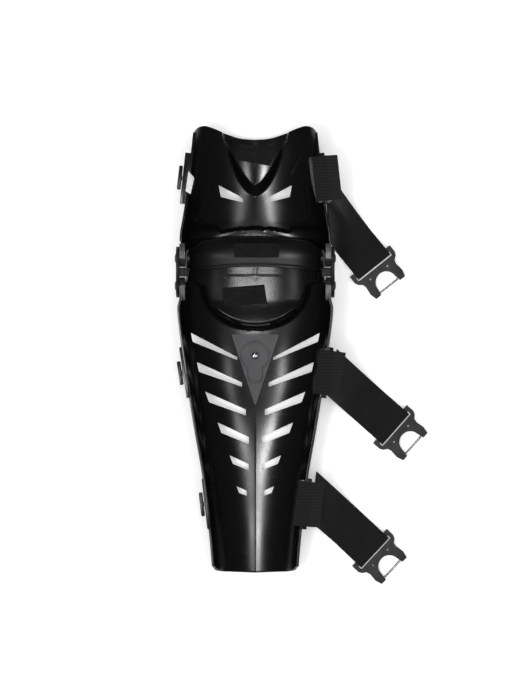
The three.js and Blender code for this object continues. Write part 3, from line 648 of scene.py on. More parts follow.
def add_lug(bm, side, y, way):
    """Hinge lug: a disc round a pivot with a tongue running back into the shell"""
    turns = [math.pi / 2 + math.pi * step / 16 for step in range(17)]
    outline = [(way * lug_radius * math.cos(turn), lug_radius * math.sin(turn)) for turn in turns]
    outline += [(way * lug_tongue, -lug_tongue_half), (way * lug_tongue, lug_tongue_half)]
    inside = side * (knee_half_width - lug_thickness - lug_pad)
    points = [place(inside, y + forward, pivot_height + high) for forward, high in outline]
    add_prism(bm, points, Vector((side * (lug_thickness + lug_pad), 0, 0)))


def add_counterbore(bm, side, y):
    """Room for a rivet's inner head in the pad of a lug"""
    seat = knee_half_width - lug_thickness
    add_rod(bm, rivet_head_radius + fit, place(side * (seat - 2 * lug_pad), y, pivot_height),
            place(side * seat, y, pivot_height))


def add_pivot_hole(bm, side, y):
    add_rod(bm, rivet_radius + fit, place(side * (plate_half_width - pivot_hole_reach), y, pivot_height),
            place(side * (knee_half_width + pivot_hole_reach), y, pivot_height))


def ridge(distance, width, height):
    return height * max(0.0, 1 - (distance / width) ** 2)


def line_distance(x, y, start, end):
    """Distance of a point from a straight line between two points"""
    run_x, run_y = end[0] - start[0], end[1] - start[1]
    share = ((x - start[0]) * run_x + (y - start[1]) * run_y) / (run_x**2 + run_y**2)
    share = min(max(share, 0.0), 1.0)
    return math.hypot(x - start[0] - share * run_x, y - start[1] - share * run_y)


# Low ribs on the leg side of the thigh wings, as runs of (x, y up from the upper pivot)
THIGH_RIBS = [
    [(-0.0465, 0.0935), (-0.0586, 0.0462), (-0.074, 0.0418)],
    [(-0.0608, 0.0891), (-0.0707, 0.0539)],
    [(0.0525, 0.1166), (0.0393, 0.0935)],
    [(0.0558, 0.0858), (0.0602, 0.0528)],
    [(0.059, 0.0429), (0.0749, 0.0444)],
]
rib_half_width = 0.001
rib_height = 0.0004
riser_marks = [(-0.0112, 0.0308), (0.0085, 0.0308)]
riser_mark_radius = 0.0022
riser_mark_depth = 0.0007
top_roll = 0.0006
top_roll_run = (0.1225, 0.1345)
top_roll_fade = (0.01, 0.02)
groove_half_width = 0.0009
groove_depth = 0.00025

# The bowl's lip and the fold line above it, with its small slot
lip_half_width = 0.022
lip_height = 0.0007
lip_fade = (0.004, 0.012)
middle_fade = (-0.012, -0.004)
fold_y = 0.0125
fold_half_length = 0.024
fold_fade = 0.01
fold_slot_x = (-0.0054, 0.004)
fold_slot_y = (0.0102, 0.0121)


def thigh_relief(x, along):
    lift = 0.0
    for run in THIGH_RIBS:
        near = min(line_distance(x, along, *ends) for ends in zip(run, run[1:]))
        lift = max(lift, ridge(near, rib_half_width, rib_height))
    for mark_x, mark_y in riser_marks:
        lift -= ridge(math.hypot(x - mark_x, along - mark_y), riser_mark_radius, riser_mark_depth)
    rolled = smooth(along, *top_roll_run) * (1 - smooth(abs(x), *top_roll_fade))
    return lift - top_roll * rolled


def shin_relief(x, along):
    radius = math.hypot(x / bowl_half_width, max(along, 0) / bowl_reach)
    lip = ridge(radius - 1, lip_half_width, lip_height) * smooth(along, *lip_fade)
    fold = ridge(along + fold_y, groove_half_width, groove_depth)
    fold *= 1 - smooth(abs(x), fold_half_length, fold_half_length + fold_fade)
    middle = ridge(x, groove_half_width, groove_depth) * (1 - smooth(along, *middle_fade))
    dished = smooth(along, bowl_dish_start, bowl_reach)
    dish = bowl_dish * dished * bowl_share(x * bowl_dish_inset, along * bowl_dish_inset)
    return lip - fold - middle + dish


def plate_relief(x, along):
    edge = along + plate_reach_down + plate_sweep * (x / plate_half_width) ** 2
    return ridge(edge - plate_bead["up"], plate_bead["half_width"], plate_bead["height"])


def bowl_vent_outline(side):
    """Floor of the recess in the step round the bowl"""
    return [surface_point(ShinSurface, side * x * bowl_half_width, y * bowl_reach, pocket_floor)
            for x, y in BOWL_VENT]


def make_thigh_plate():
    piece = make_shell("thigh_shell", ThighSurface, thigh_place, shell_wall, thigh_relief, 150, 120)
    windows, bars, holes = bmesh.new(), bmesh.new(), bmesh.new()
    station = STATIONS["thigh"]
    add_strap_slot(windows, station)
    add_bars(bars, station)
    window = [place(x, knee_y + up, pivot_height - slot_height) for x, up in STUD_WINDOW]
    add_prism(holes, window, Vector((0, 0, clear_run + slot_height)), slot_rounding)
    for side in SIDES.values():
        add_lug(bars, side, knee_y, 1)
        add_pivot_hole(holes, side, knee_y)
        add_counterbore(holes, side, knee_y)
        vent = [place(side * x * knee_half_width, knee_y + y * thigh_length, -clear_run)
                for x, y in THIGH_VENT]
        add_prism(holes, vent, Vector((0, 0, clear_run + rim_height)), slot_rounding)
    combine(piece, windows, "DIFFERENCE")
    combine(piece, bars, "UNION")
    combine(piece, holes, "DIFFERENCE")
    return piece


def make_shin_plate():
    piece = make_shell("shin_shell", ShinSurface, shin_place, shell_wall, shin_relief, 140, 240, shin_rows)
    windows, bars, holes = bmesh.new(), bmesh.new(), bmesh.new()
    for name in ("shin_upper", "shin_lower"):
        add_strap_slot(windows, STATIONS[name])
        add_bars(bars, STATIONS[name])
    for side in SIDES.values():
        add_lug(bars, side, 0, -1)
        add_pivot_hole(holes, side, 0)
        add_counterbore(holes, side, 0)
        for slot in CHEVRON_SLOTS:
            corners = [(slot["out_x"], slot["out_top"]), (slot["in_x"], slot["in_top"]),
                       (slot["in_x"], slot["in_low"]), (slot["out_low_x"], slot["out_low"])]
            outline = [place(side * x * knee_half_width, -y * shin_length, -clear_run) for x, y in corners]
            add_prism(holes, outline, Vector((0, 0, clear_run + rim_height)), slot_rounding)
        add_prism(holes, bowl_vent_outline(side), Vector((0, 0, clear_run)))
    add_rod(holes, screw_radius + fit, place(0, screw_y, -clear_run), place(0, screw_y, clear_run))
    add_box(holes, fold_slot_x, fold_slot_y, (pocket_floor, clear_run), Matrix.Translation(place(0, 0, 0)))
    combine(piece, windows, "DIFFERENCE")
    combine(piece, bars, "UNION")
    combine(piece, holes, "DIFFERENCE")
    return piece


def make_knee_plate():
    piece = make_shell("knee_shell", PlateSurface, plate_place, plate_wall, plate_relief, 120, 36)
    bosses = bmesh.new()
    holes = bmesh.new()
    for side in SIDES.values():
        inside = side * (plate_half_width - boss_thickness)
        add_rod(bosses, boss_radius, place(inside, knee_y, pivot_height),
                place(side * plate_half_width, knee_y, pivot_height), 48)
        add_pivot_hole(holes, side, knee_y)
    combine(piece, bosses, "UNION")
    combine(piece, holes, "DIFFERENCE")
    return piece


def make_sheet(name, lower, upper, columns, rows, width, length, rounding=sheet_rounding):
    """Thin closed sheet between two faces, with a UV map in metres across and along it"""
    bm = bmesh.new()
    uv = bm.loops.layers.uv.new("weave")
    share_u, share_v = grid_wall(bm, columns, rows, lower, upper, rounding)
    for face in bm.faces:
        for loop in face.loops:
            loop[uv].uv = (loop.vert[share_u] * width / 2, loop.vert[share_v] * length)
    return link_object(name, bm)


def between(corners, u, v):
    """Point inside four corners, for u from -1 to 1 and v from 0 to 1"""
    a, b, c, d = corners
    return a.lerp(b, (u + 1) / 2).lerp(d.lerp(c, (u + 1) / 2), v)


def make_patch(name, surface, corners, seat):
    """Hook-and-loop sheet glued to the leg side of a shell, and its flat width and height"""
    a, b, c, d = corners
    width, height = (b - a).length, (d - a).length

    def face(lift):
        return lambda u, v: surface_point(surface, *between(corners, u, v), seat + lift)

    return make_sheet(name, face(0), face(patch_thickness), 56, 28, width, height), (width, height)


def make_badge():
    """Grey triangular insert with a drop-shaped groove round its screw"""
    half = badge_width / 2
    low = badge_top - badge_length
    corners = [Vector((-badge_tip, low)), Vector((badge_tip, low)), Vector((half, badge_top)),
               Vector((-half, badge_top))]

    def under(u, v):
        x, y = between(corners, u, v)
        return surface_point(ShinSurface, x, -y, badge_seat)

    def top(u, v):
        x, y = between(corners, u, v)
        from_screw = math.hypot(x, y - screw_y)
        from_tail = line_distance(x, y, (0, screw_y), (0, screw_y - badge_ring["tail"]))
        off_ring = min(from_screw, from_tail * badge_ring["draw"]) - badge_ring["radius"]
        groove = ridge(abs(off_ring), badge_ring["half_width"], badge_ring["depth"])
        return under(u, v) + Vector((0, 0, badge_thickness - groove))

    piece = make_sheet("badge", under, top, 70, 90, badge_width, badge_length, thin_rounding)
    hole = bmesh.new()
    add_rod(hole, screw_radius + fit, place(0, screw_y, -clear_run), place(0, screw_y, 2 * clear_run))
    combine(piece, hole, "DIFFERENCE")
    return piece


def spin_profile(name, profile, axis, centre, segments=48):
    """Closed turned piece: profile holds (radius, along) points from axis to axis"""
    bm = bmesh.new()
    turn = Vector(axis).to_track_quat("Z", "Y").to_matrix()
    verts = [bm.verts.new(centre + turn @ Vector((radius, 0, along))) for radius, along in profile]
    edges = [bm.edges.new(pair) for pair in zip(verts, verts[1:])]
    bmesh.ops.spin(bm, geom=verts + edges, cent=centre, axis=axis, angle=2 * math.pi, steps=segments,
                   use_merge=True)
    bmesh.ops.remove_doubles(bm, verts=bm.verts, dist=1e-6)
    bmesh.ops.recalc_face_normals(bm, faces=bm.faces)
    return link_object(name, bm)


def turned_head(shares, radius, height, start):
    return [(share * radius, start + up * height) for share, up in shares]


def make_screw():
    bottom = ShinSurface.height(0, -screw_y)
    seat = bottom + badge_seat + badge_thickness + 2 * fit
    profile = [(0, bottom + screw_end), (screw_radius, bottom + screw_end), (screw_radius, seat)]
    profile += turned_head(SCREW_HEAD, screw_head_radius, screw_head_height, seat)
    piece = spin_profile("screw", profile, Vector((0, 0, 1)), place(0, screw_y, 0))
    floor = Matrix.Translation(place(0, screw_y, seat + SCREW_HEAD[1][1] * screw_head_height))
    half_length, half_width = screw_cross["length"] / 2, screw_cross["width"] / 2
    for turn in (screw_cross["turn"], screw_cross["turn"] + math.pi / 2):
        cross = bmesh.new()
        add_box(cross, (-half_length, half_length), (-half_width, half_width), (0, 2 * screw_head_height),
                floor @ Matrix.Rotation(turn, 4, "Z"))
        combine(piece, cross, "DIFFERENCE")
    return piece


def make_rivet(name, side, level):
    """Rivet through a link, a lug and, at the upper pivot, the knee plate on its collar"""
    outside = knee_half_width + link_thickness + 2 * fit
    lug_inside = knee_half_width - lug_thickness - 2 * fit
    plate_inside = plate_half_width - boss_thickness - fit
    plate_outside = plate_half_width + fit
    head, height, shank = rivet_head_radius, rivet_head_height, rivet_radius
    if level == "upper":
        profile = turned_head(RIVET_HEAD, head, -height, plate_inside)
        profile += [(head, plate_inside), (shank, plate_inside), (shank, plate_outside),
                    (head, plate_outside)]
    else:
        profile = turned_head(RIVET_TALL_HEAD, head, -height, lug_inside)
    profile += [(head, lug_inside), (shank, lug_inside), (shank, outside), (head, outside)]
    profile += reversed(turned_head(RIVET_HEAD, head, height, outside))
    y = knee_y if level == "upper" else 0
    return spin_profile(name, profile, Vector((side, 0, 0)), place(0, y, pivot_height), 32)


def make_link(name, side):
    """Side link, waisted between two round ends"""
    def arc(centre, start):
        return [(centre + link_radius * math.sin(start + math.pi * step / 20),
                 link_radius * math.cos(start + math.pi * step / 20)) for step in range(21)]

    def waist(start, end, way):
        shares = [step / 8 for step in range(1, 8)]
        return [(start + (end - start) * t, way * (link_radius - 4 * t * (1 - t) * link_waist))
                for t in shares]

    outline = arc(knee_y, 0) + waist(knee_y, 0, -1) + arc(0, math.pi) + waist(0, knee_y, 1)
    inner = side * (knee_half_width + fit)
    bm = bmesh.new()
    add_prism(bm, [place(inner, y, pivot_height + z) for y, z in outline],
              Vector((side * link_thickness, 0, 0)))
    round_rims(bm, link_rounding)
    piece = link_object(name, bm)
    spacer = bmesh.new()
    add_box(spacer, (spacer_inside, knee_half_width + link_thickness / 2),
            (knee_y / 2 - spacer_half_length, knee_y / 2 + spacer_half_length),
            (pivot_height - spacer_half_height, pivot_height + spacer_half_height),
            Matrix.Translation(place(0, 0, 0)) @ Matrix.Diagonal((side, 1, 1, 1)), bar_rounding)
    bmesh.ops.recalc_face_normals(spacer, faces=spacer.faces)
    combine(piece, spacer, "UNION")
    holes = bmesh.new()
    for y in (0, knee_y):
        add_pivot_hole(holes, side, y)
    combine(piece, holes, "DIFFERENCE")
    return piece


def make_stud(name, station):
    """Round post with a flat rounded cap for a buckle to hook on"""
    rim = rim_frame(station, -1)
    middle = rim["top"] - bar_height / 2
    post_start = station["stud_reach"] * bar_reach + fit
    start = post_start + post_length
    cap = bmesh.new()
    add_box(cap, (start, start + cap_thickness), (-cap_length / 2, cap_length / 2),
            (middle - cap_height / 2, middle + cap_height / 2), rim["matrix"], cap_rounding)
    piece = link_object(name, cap)
    post = bmesh.new()
    matrix = rim["matrix"]
    add_rod(post, post_radius, matrix @ Vector((post_start, 0, middle)),
            matrix @ Vector((start + cap_thickness / 2, 0, middle)))
    combine(piece, post, "UNION")
    return piece


def make_loop(name, station):
    """Webbing loop round a slot bar with its sewn tail hanging outwards"""
    rim = rim_frame(station, 1)
    x0, x1 = -bar_inset - loop_slack - loop_bulge, bar_reach + loop_slack
    z0, z1 = rim["top"] - bar_height - loop_slack, rim["top"] + loop_slack
    t = loop_thickness
    corner = loop_corner
    outside = [(x0 - t, z0 - corner), (x0 - corner, z0 - t), (x1 + corner, z0 - t), (x1 + t, z0 - corner),
               (x1 + t, z1 - t), (x1 + tail_reach, z1 - tail_drop),
               (x1 + tail_reach + t, z1 - tail_drop + 2 * corner),
               (x1 + t, z1 + corner), (x1 + corner, z1 + t), (x0 - corner, z1 + t), (x0 - t, z1 + corner)]
    bm = bmesh.new()
    add_prism(bm, [Vector((x, -loop_width / 2, z)) for x, z in outside], Vector((0, loop_width, 0)),
              loop_rounding)
    piece = link_object(name, bm)
    hole = bmesh.new()
    add_box(hole, (x0, x1), (-loop_width, loop_width), (z0, z1), Matrix.Identity(4), loop_rounding)
    combine(piece, hole, "DIFFERENCE")
    piece.data.transform(rim["matrix"])
    return piece


def buckle_frame(station):
    """Middle of a buckle's near edge, and the way that its strap runs on the ground"""
    rim = rim_frame(station, 1)
    angle = -math.radians(station["angle"])
    return {"x": rim["x"] + station["out"] * strap_run, "y": rim["y"] - station["down"] * strap_run,
            "angle": angle, "out": Vector((math.cos(angle), math.sin(angle)))}


def strap_route(station, side_offset):
    """Points of the strap's middle face on one lengthwise line, from the loop's tail to the turned end"""
    rim, buckle = rim_frame(station, 1), buckle_frame(station)
    out = buckle["out"]
    base_x = buckle["x"] - out.y * side_offset
    base_y = buckle["y"] + out.x * side_offset
    half = strap_thickness / 2
    start_x = rim["x"] + bar_reach + loop_slack + loop_thickness + tail_tuck
    tail_slope = (tail_drop - loop_thickness) / (tail_reach - loop_thickness)
    start_high = rim["top"] + loop_slack - loop_thickness - tail_tuck * tail_slope - strap_thickness - fit
    across_run = out.x - rim["slope"] * out.y
    start_along = (start_x + rim["slope"] * (base_y - rim["y"]) - base_x) / across_run
    past_tail = max(rim["y"] - loop_width / 2 - (base_y + out.y * start_along), 0)
    start = start_high - strap_shed * past_tail
    start_along -= min(strap_tuck, strap_tuck_share * past_tail) / across_run
    lapped = 3 * half + 2 * fit
    over = bar_top + fit + half + strap_lift
    foot = -ramp_foot * buckle_bar
    route = []
    for step in range(ramp_steps):
        t = step / ramp_steps
        high = half + (start - half) * (1 - t) ** ramp_curve
        route.append((start_along + (foot - start_along) * t, high))
    for step in range(rise_steps + 1):
        t = step / rise_steps
        high = half + (lapped - half) * smooth(t, 0, lap_share) + (over - lapped) * smooth(t, lap_share, 1)
        route.append((foot + (-0.5 * buckle_bar - foot) * t, high))
    turn_radius = (over - half) / 2
    turn_reach = turn_radius * turn_squash
    centre = buckle_bar * turn_centre - turn_reach
    for step in range(turn_steps + 1):
        turn = math.pi / 2 - math.pi * step / turn_steps
        high = half + turn_radius + turn_radius * math.sin(turn)
        route.append((centre + turn_reach * math.cos(turn), high))
    route.append((-fold_back, half))
    return [place(base_x + out.x * along, base_y + out.y * along, z) for along, z in route]


def even_points(route, count):
    """Route sampled at equal steps along its length"""
    lengths = [0.0]
    for start, end in zip(route, route[1:]):
        lengths.append(lengths[-1] + (end - start).length)
    points = []
    index = 0
    for step in range(count + 1):
        target = lengths[-1] * step / count
        while index < len(route) - 2 and target > lengths[index + 1]:
            index += 1
        share = (target - lengths[index]) / max(lengths[index + 1] - lengths[index], 1e-9)
        points.append(route[index].lerp(route[index + 1], min(max(share, 0.0), 1.0)))
    return points, lengths[-1]


def make_strap(name, station, columns=24, rows=170):
    """Elastic strap: down from the loop, over the buckle's bar and back under"""
    lines = []
    length = 0.0
    for column in range(columns + 1):
        offset = (column / columns - 0.5) * strap_width
        points, long = even_points(strap_route(station, offset), rows)
        lines.append(points)
        length = max(length, long)

    def middle(u, v):
        return lines[round((u + 1) / 2 * columns)][round(v * rows)]

    def normal(u, v):
        column, row = round((u + 1) / 2 * columns), round(v * rows)
        across = lines[columns][row] - lines[0][row]
        along = lines[column][min(row + 1, rows)] - lines[column][max(row - 1, 0)]
        return along.cross(across).normalized()

    def face(lift):
        return lambda u, v: middle(u, v) + normal(u, v) * lift

    half = strap_thickness / 2
    return make_sheet(name, face(-half), face(half), columns, rows, strap_width, length,
                      thin_rounding), length


def make_buckle(name, station):
    """Moulded hook buckle with a strap slot, an open mouth and two prongs"""
    half_width = buckle_width / 2
    right = [(out * half_width, up * buckle_height) for out, up in BUCKLE_OUTLINE]
    arc = [(buckle_mouth_radius * math.cos(turn), buckle_mouth_up - buckle_mouth_radius * math.sin(turn))
           for turn in [math.pi * step / 24 for step in range(25)]]
    outline = right + arc + [(-x, y) for x, y in reversed(right)]
    bm = bmesh.new()
    add_prism(bm, [Vector((x, y, 0)) for x, y in outline], Vector((0, 0, buckle_thickness)))
    piece = link_object(name, bm)
    cuts = bmesh.new()
    reach = Vector((0, 0, buckle_cut_reach))
    half_slot, slot_top = buckle_slot_width / 2, buckle_bar + buckle_slot_height
    slot = [(-half_slot, buckle_bar), (half_slot, buckle_bar), (half_slot, slot_top),
            (-half_slot, slot_top)]
    add_prism(cuts, [Vector((x, y, 0)) - reach for x, y in slot], 2 * reach, buckle_slot_rounding)
    for side in SIDES.values():
        spot = Vector((side * buckle_hole_out, buckle_hole_up, 0))
        add_rod(cuts, buckle_hole_radius, spot - reach, spot + reach, 20)
    combine(piece, cuts, "DIFFERENCE")
    bevel = piece.modifiers.new("rounding", "BEVEL")
    bevel.width = buckle_rounding
    bevel.segments = 3
    bevel.limit_method = "ANGLE"
    bevel.angle_limit = buckle_angle
    bevel.use_clamp_overlap = True
    bake_modifiers(piece)
    bore = bmesh.new()
    end = Vector((pin_length / 2 + fit, 0, 0))
    spot = Vector((0, pin_up, buckle_thickness / 2))
    add_rod(bore, pin_radius + fit, spot - end, spot + end)
    combine(piece, bore, "DIFFERENCE")
    piece.data.transform(buckle_matrix(station))
    return piece


def buckle_matrix(station):
    buckle = buckle_frame(station)
    tip = -math.atan((bar_low - fit) / buckle_height)
    return (Matrix.Translation(place(buckle["x"], buckle["y"], 0))
            @ Matrix.Rotation(buckle["angle"] - math.pi / 2, 4, "Z")
            @ Matrix.Translation((0, 0, bar_low)) @ Matrix.Rotation(tip, 4, "X"))


def make_pin(name, station):
    half, lip = pin_length / 2, pin_lip
    profile = [(0, -half), (pin_radius - lip, -half), (pin_radius, -half + lip), (pin_radius, half - lip),
               (pin_radius - lip, half), (0, half)]
    spot = Vector((0, pin_up, buckle_thickness / 2))
    piece = spin_profile(name, profile, Vector((1, 0, 0)), spot, 28)
    piece.data.transform(buckle_matrix(station))
    return piece


class Finish:
    """A material under construction: its shader and short ways to add and join nodes"""

    def __init__(self, name, roughness, metallic=0.0):
        self.material = bpy.data.materials.new(name)
        self.material.use_nodes = True
        self.nodes = self.material.node_tree.nodes
        self.shader = self.nodes["Principled BSDF"]
        self.shader.inputs["Roughness"].default_value = roughness
        self.shader.inputs["Metallic"].default_value = metallic

    def add(self, kind, **inputs):
        node = self.nodes.new(kind)
        for name, value in inputs.items():
            socket = node.inputs[name.replace("_", " ")]
            if isinstance(value, bpy.types.NodeSocket):
                self.join(value, socket)
            else:
                socket.default_value = value
        return node

    def join(self, source, target):
        self.material.node_tree.links.new(source, target)

    def place(self, scale=(1, 1, 1), turn=0.0, source="Object"):
        coordinates = self.nodes.new("ShaderNodeTexCoord")
        mapping = self.nodes.new("ShaderNodeMapping")
        mapping.inputs["Scale"].default_value = scale
        mapping.inputs["Rotation"].default_value = (0, 0, turn)
        self.join(coordinates.outputs[source], mapping.inputs["Vector"])
        return mapping.outputs["Vector"]

    def noise(self, vector, scale, detail=2.0, roughness=0.5):
        return self.add("ShaderNodeTexNoise", Vector=vector, Scale=scale, Detail=detail,
                        Roughness=roughness).outputs["Fac"]

    def math(self, operation, first, second=0.0):
        node = self.nodes.new("ShaderNodeMath")
        node.operation = operation
        for index, value in enumerate((first, second)):
            if isinstance(value, bpy.types.NodeSocket):
                self.join(value, node.inputs[index])
            else:
                node.inputs[index].default_value = value
        return node.outputs[0]

    def span(self, value, low, high, new_low=0, new_high=1):
        return self.add("ShaderNodeMapRange", Value=value, From_Min=low, From_Max=high, To_Min=new_low,
                        To_Max=new_high).outputs["Result"]

    def wave(self, value, length):
        return self.math("SINE", self.math("MULTIPLY", value, 2 * math.pi / length))

    def colours(self, share, low, high):
        node = self.nodes.new("ShaderNodeMix")
        node.data_type = "RGBA"
        self.join(share, node.inputs["Factor"])
        node.inputs["A"].default_value = (*low, 1)
        node.inputs["B"].default_value = (*high, 1)
        return node.outputs["Result"]

    def bump(self, height, distance, strength):
        return self.add("ShaderNodeBump", Distance=distance, Strength=strength,
                        Height=height).outputs["Normal"]

    def glow(self, strength):
        self.shader.inputs["Emission Color"].default_value = (1, 1, 1, 1)
        self.shader.inputs["Emission Strength"].default_value = strength

    def done(self, colour, normal=None, roughness=None):
        self.join(colour, self.shader.inputs["Base Color"])
        if normal is not None:
            self.join(normal, self.shader.inputs["Normal"])
        if roughness is not None:
            self.join(roughness, self.shader.inputs["Roughness"])
        return self.material


def shell_plastic(name, smoothest, roughest):
    """Black moulded plastic with orange peel, faint scratches and a painted highlight that lightens its
    sharp edges
    """
    finish = Finish(name, smoothest)
    spot = finish.place()
    broad = finish.noise(spot, 22, 3)
    peel = finish.noise(spot, 620, 2)
    scratches = finish.noise(finish.place((40, 900, 40), 0.7), 1.0, 3, 0.6)
    scratch_share = finish.span(scratches, 0.66, 0.74)
    # Painted highlight: sharp rims and cut edges, found by their pointiness, are painted lighter
    wear_and_edge_highlight = finish.span(finish.nodes.new("ShaderNodeNewGeometry").outputs["Pointiness"], 0.53, 0.6)
    marks = finish.math("MAXIMUM", finish.math("MULTIPLY", scratch_share, 0.08), wear_and_edge_highlight)
    colour = finish.colours(marks, (0.0026, 0.0026, 0.0028), (0.016, 0.016, 0.0165))
    roughness = finish.math("ADD", finish.span(broad, 0.3, 0.7, smoothest, roughest),
                            finish.math("MULTIPLY", scratch_share, 0.12))
    normal = finish.bump(peel, 0.00006, 0.5)
    return finish.done(colour, normal, roughness)


def grained_plastic(name, dark, light, roughness, gloss=0.5):
    """Matte moulded plastic with a fine grain"""
    finish = Finish(name, roughness)
    finish.shader.inputs["Specular IOR Level"].default_value = gloss
    spot = finish.place()
    fine = finish.noise(spot, 2200, 2)
    broad = finish.noise(spot, 60, 3)
    colour = finish.colours(finish.span(broad, 0.3, 0.7), dark, light)
    shine = finish.span(fine, 0.3, 0.7, roughness - 0.06, roughness + 0.06)
    return finish.done(colour, finish.bump(fine, 0.0001, 0.6), shine)


def fabric(name, roughness):
    """Start of a black cloth, with a faint sheen and little gloss"""
    finish = Finish(name, roughness)
    finish.shader.inputs["Sheen Weight"].default_value = 0.06
    finish.shader.inputs["Specular IOR Level"].default_value = 0.15
    return finish


def webbing():
    """Elastic webbing: ribs along the strap, crossed by a fine weave, with a soft fuzz"""
    finish = fabric("webbing", 0.85)
    weave = finish.add("ShaderNodeSeparateXYZ", Vector=finish.place(source="UV")).outputs
    rib, pick = finish.wave(weave["X"], 0.0019), finish.wave(weave["Y"], 0.0011)
    fuzz = finish.noise(finish.place(), 1500, 3, 0.7)
    wear = finish.noise(finish.place(), 55, 3)
    height = finish.math("ADD", finish.math("MULTIPLY", rib, 0.5), finish.math("MULTIPLY", pick, 0.3))
    height = finish.math("ADD", height, fuzz)
    wear_and_edge_highlight = finish.span(wear, 0.2, 0.8, 0.6, 1.0)
    share = finish.math("MULTIPLY", finish.span(height, -0.6, 1.4), wear_and_edge_highlight)
    colour = finish.colours(share, (0.004, 0.004, 0.0042), (0.013, 0.013, 0.0135))
    return finish.done(colour, finish.bump(height, 0.0002, 0.7))


def loop_webbing():
    """Folded webbing of the loops, with ribs across"""
    finish = fabric("loop_webbing", 0.85)
    spot = finish.place()
    rib = finish.wave(finish.add("ShaderNodeSeparateXYZ", Vector=spot).outputs["Y"], 0.0033)
    fuzz = finish.noise(spot, 1500, 3, 0.7)
    height = finish.math("ADD", finish.math("MULTIPLY", rib, 0.7), fuzz)
    share = finish.span(height, -0.6, 1.5)
    colour = finish.colours(share, (0.006, 0.006, 0.0062), (0.014, 0.014, 0.0145))
    return finish.done(colour, finish.bump(height, 0.00022, 0.6))


def hook_pile():
    """Hook-and-loop pile: short tangled loops, matte and uneven"""
    finish = fabric("hook_pile", 0.95)
    spot = finish.place()
    tangle = finish.noise(spot, 1900, 4, 0.75)
    clumps = finish.noise(spot, 260, 3, 0.6)
    height = finish.math("ADD", tangle, clumps)
    share = finish.span(height, 0.7, 1.35)
    colour = finish.colours(share, (0.003, 0.003, 0.0031), (0.014, 0.014, 0.0145))
    return finish.done(colour, finish.bump(height, 0.0005, 0.9))


def steel(name, brushed, dark, light):
    """Steel with fine turning or drawing marks"""
    finish = Finish(name, 0.24, 1.0)
    spot = finish.place(brushed)
    lines = finish.noise(spot, 1.0, 3, 0.6)
    specks = finish.noise(finish.place(), 900, 2)
    colour = finish.colours(finish.span(lines, 0.3, 0.7), dark, light)
    shine = finish.span(specks, 0.3, 0.7, 0.18, 0.34)
    return finish.done(colour, finish.bump(lines, 0.00003, 0.4), shine)


def dress(piece, material, body, node):
    """Gives a finished piece its material, shading and body, and hides the node of the model that it
    stands for
    """
    piece.data.materials.clear()
    piece.data.materials.append(material)
    piece.data.shade_smooth()
    piece.data.set_sharp_from_angle(angle=sharp_angle)
    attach(piece, body)
    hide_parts(node)


# Camera straight above the guard, at the photograph's framing
pixel = 0.0011
photo_width, photo_height = 516, 688
guard_pixel_x, guard_pixel_y = 255.3, 286
camera_height = 2.6
framed_level = 0.03
sensor_width = 36

# Area lights, aimed at the middle of the guard: out in x from it, up in y, and high above the ground
LIGHTS = {
    "left_softbox": {"out": -0.8, "up": -0.4, "high": 2.5, "size": (0.6, 0.25), "power": 16.5},
    "right_softbox": {"out": 0.8, "up": -0.4, "high": 2.5, "size": (0.6, 0.25), "power": 5.6},
    "overhead": {"out": 0.03, "up": 0.13, "high": 2.65, "size": (0.2, 0.18), "power": 4.5},
    "fill": {"out": 0, "up": 0, "high": 3, "size": (4, 4), "power": 110},
}
backdrop_radius = 4.5
floor_half = 2.2
floor_drop = 0.0002


def make_camera():
    camera = bpy.data.objects.new("camera", bpy.data.cameras.new("camera"))
    bpy.context.scene.collection.objects.link(camera)
    camera.data.sensor_width = sensor_width
    camera.data.lens = sensor_width * (camera_height - framed_level) / (photo_height * pixel)
    bpy.context.scene.view_settings.view_transform = "Standard"
    camera.location = place((photo_width / 2 - guard_pixel_x) * pixel,
                            (guard_pixel_y - photo_height / 2) * pixel, camera_height)
    bpy.context.scene.camera = camera


def add_light(name, row):
    light = bpy.data.lights.new(name, "AREA")
    light.shape = "RECTANGLE"
    light.size, light.size_y = row["size"]
    light.energy = row["power"]
    lamp = bpy.data.objects.new(name, light)
    bpy.context.scene.collection.objects.link(lamp)
    spot = Vector((middle_x + row["out"], row["up"], row["high"]))
    lamp.location = spot
    lamp.rotation_mode = "QUATERNION"
    lamp.rotation_quaternion = (spot - Vector((middle_x, 0, 0))).to_track_quat("Z", "Y")
    lamp.visible_glossy = name != "fill"


def make_backdrop():
    """White dome round the floor, seen by the camera alone"""
    bm = bmesh.new()
    bmesh.ops.create_uvsphere(bm, u_segments=64, v_segments=32, radius=backdrop_radius)
    backdrop = link_object("backdrop", bm)
    finish = Finish("white_backdrop", 1.0)
    finish.shader.inputs["Base Color"].default_value = (0, 0, 0, 1)
    finish.shader.inputs["Specular IOR Level"].default_value = 0
    finish.glow(1)
    backdrop.data.materials.append(finish.material)
    for rays in ("diffuse", "glossy", "transmission", "volume_scatter", "shadow"):
        setattr(backdrop, "visible_" + rays, False)


def make_stage():
    make_backdrop()
    bm = bmesh.new()
    bmesh.ops.create_grid(bm, x_segments=1, y_segments=1, size=floor_half)
    bmesh.ops.translate(bm, verts=bm.verts, vec=(0, 0, -floor_drop))
    floor = link_object("floor", bm)
    finish = Finish("white_floor", 0.9)
    grain = finish.noise(finish.place(), 40, 2)
    finish.glow(0.25)
    colour = finish.colours(grain, (0.86, 0.86, 0.86), (0.88, 0.88, 0.88))
    floor.data.materials.append(finish.done(colour))
    world = bpy.context.scene.world or bpy.data.worlds.new("studio")
    bpy.context.scene.world = world
    world.use_nodes = True
    background = world.node_tree.nodes["Background"]
    background.inputs["Color"].default_value = (1, 1, 1, 1)
    background.inputs["Strength"].default_value = 0.05
    for name, row in LIGHTS.items():
        add_light(name, row)


make_camera()

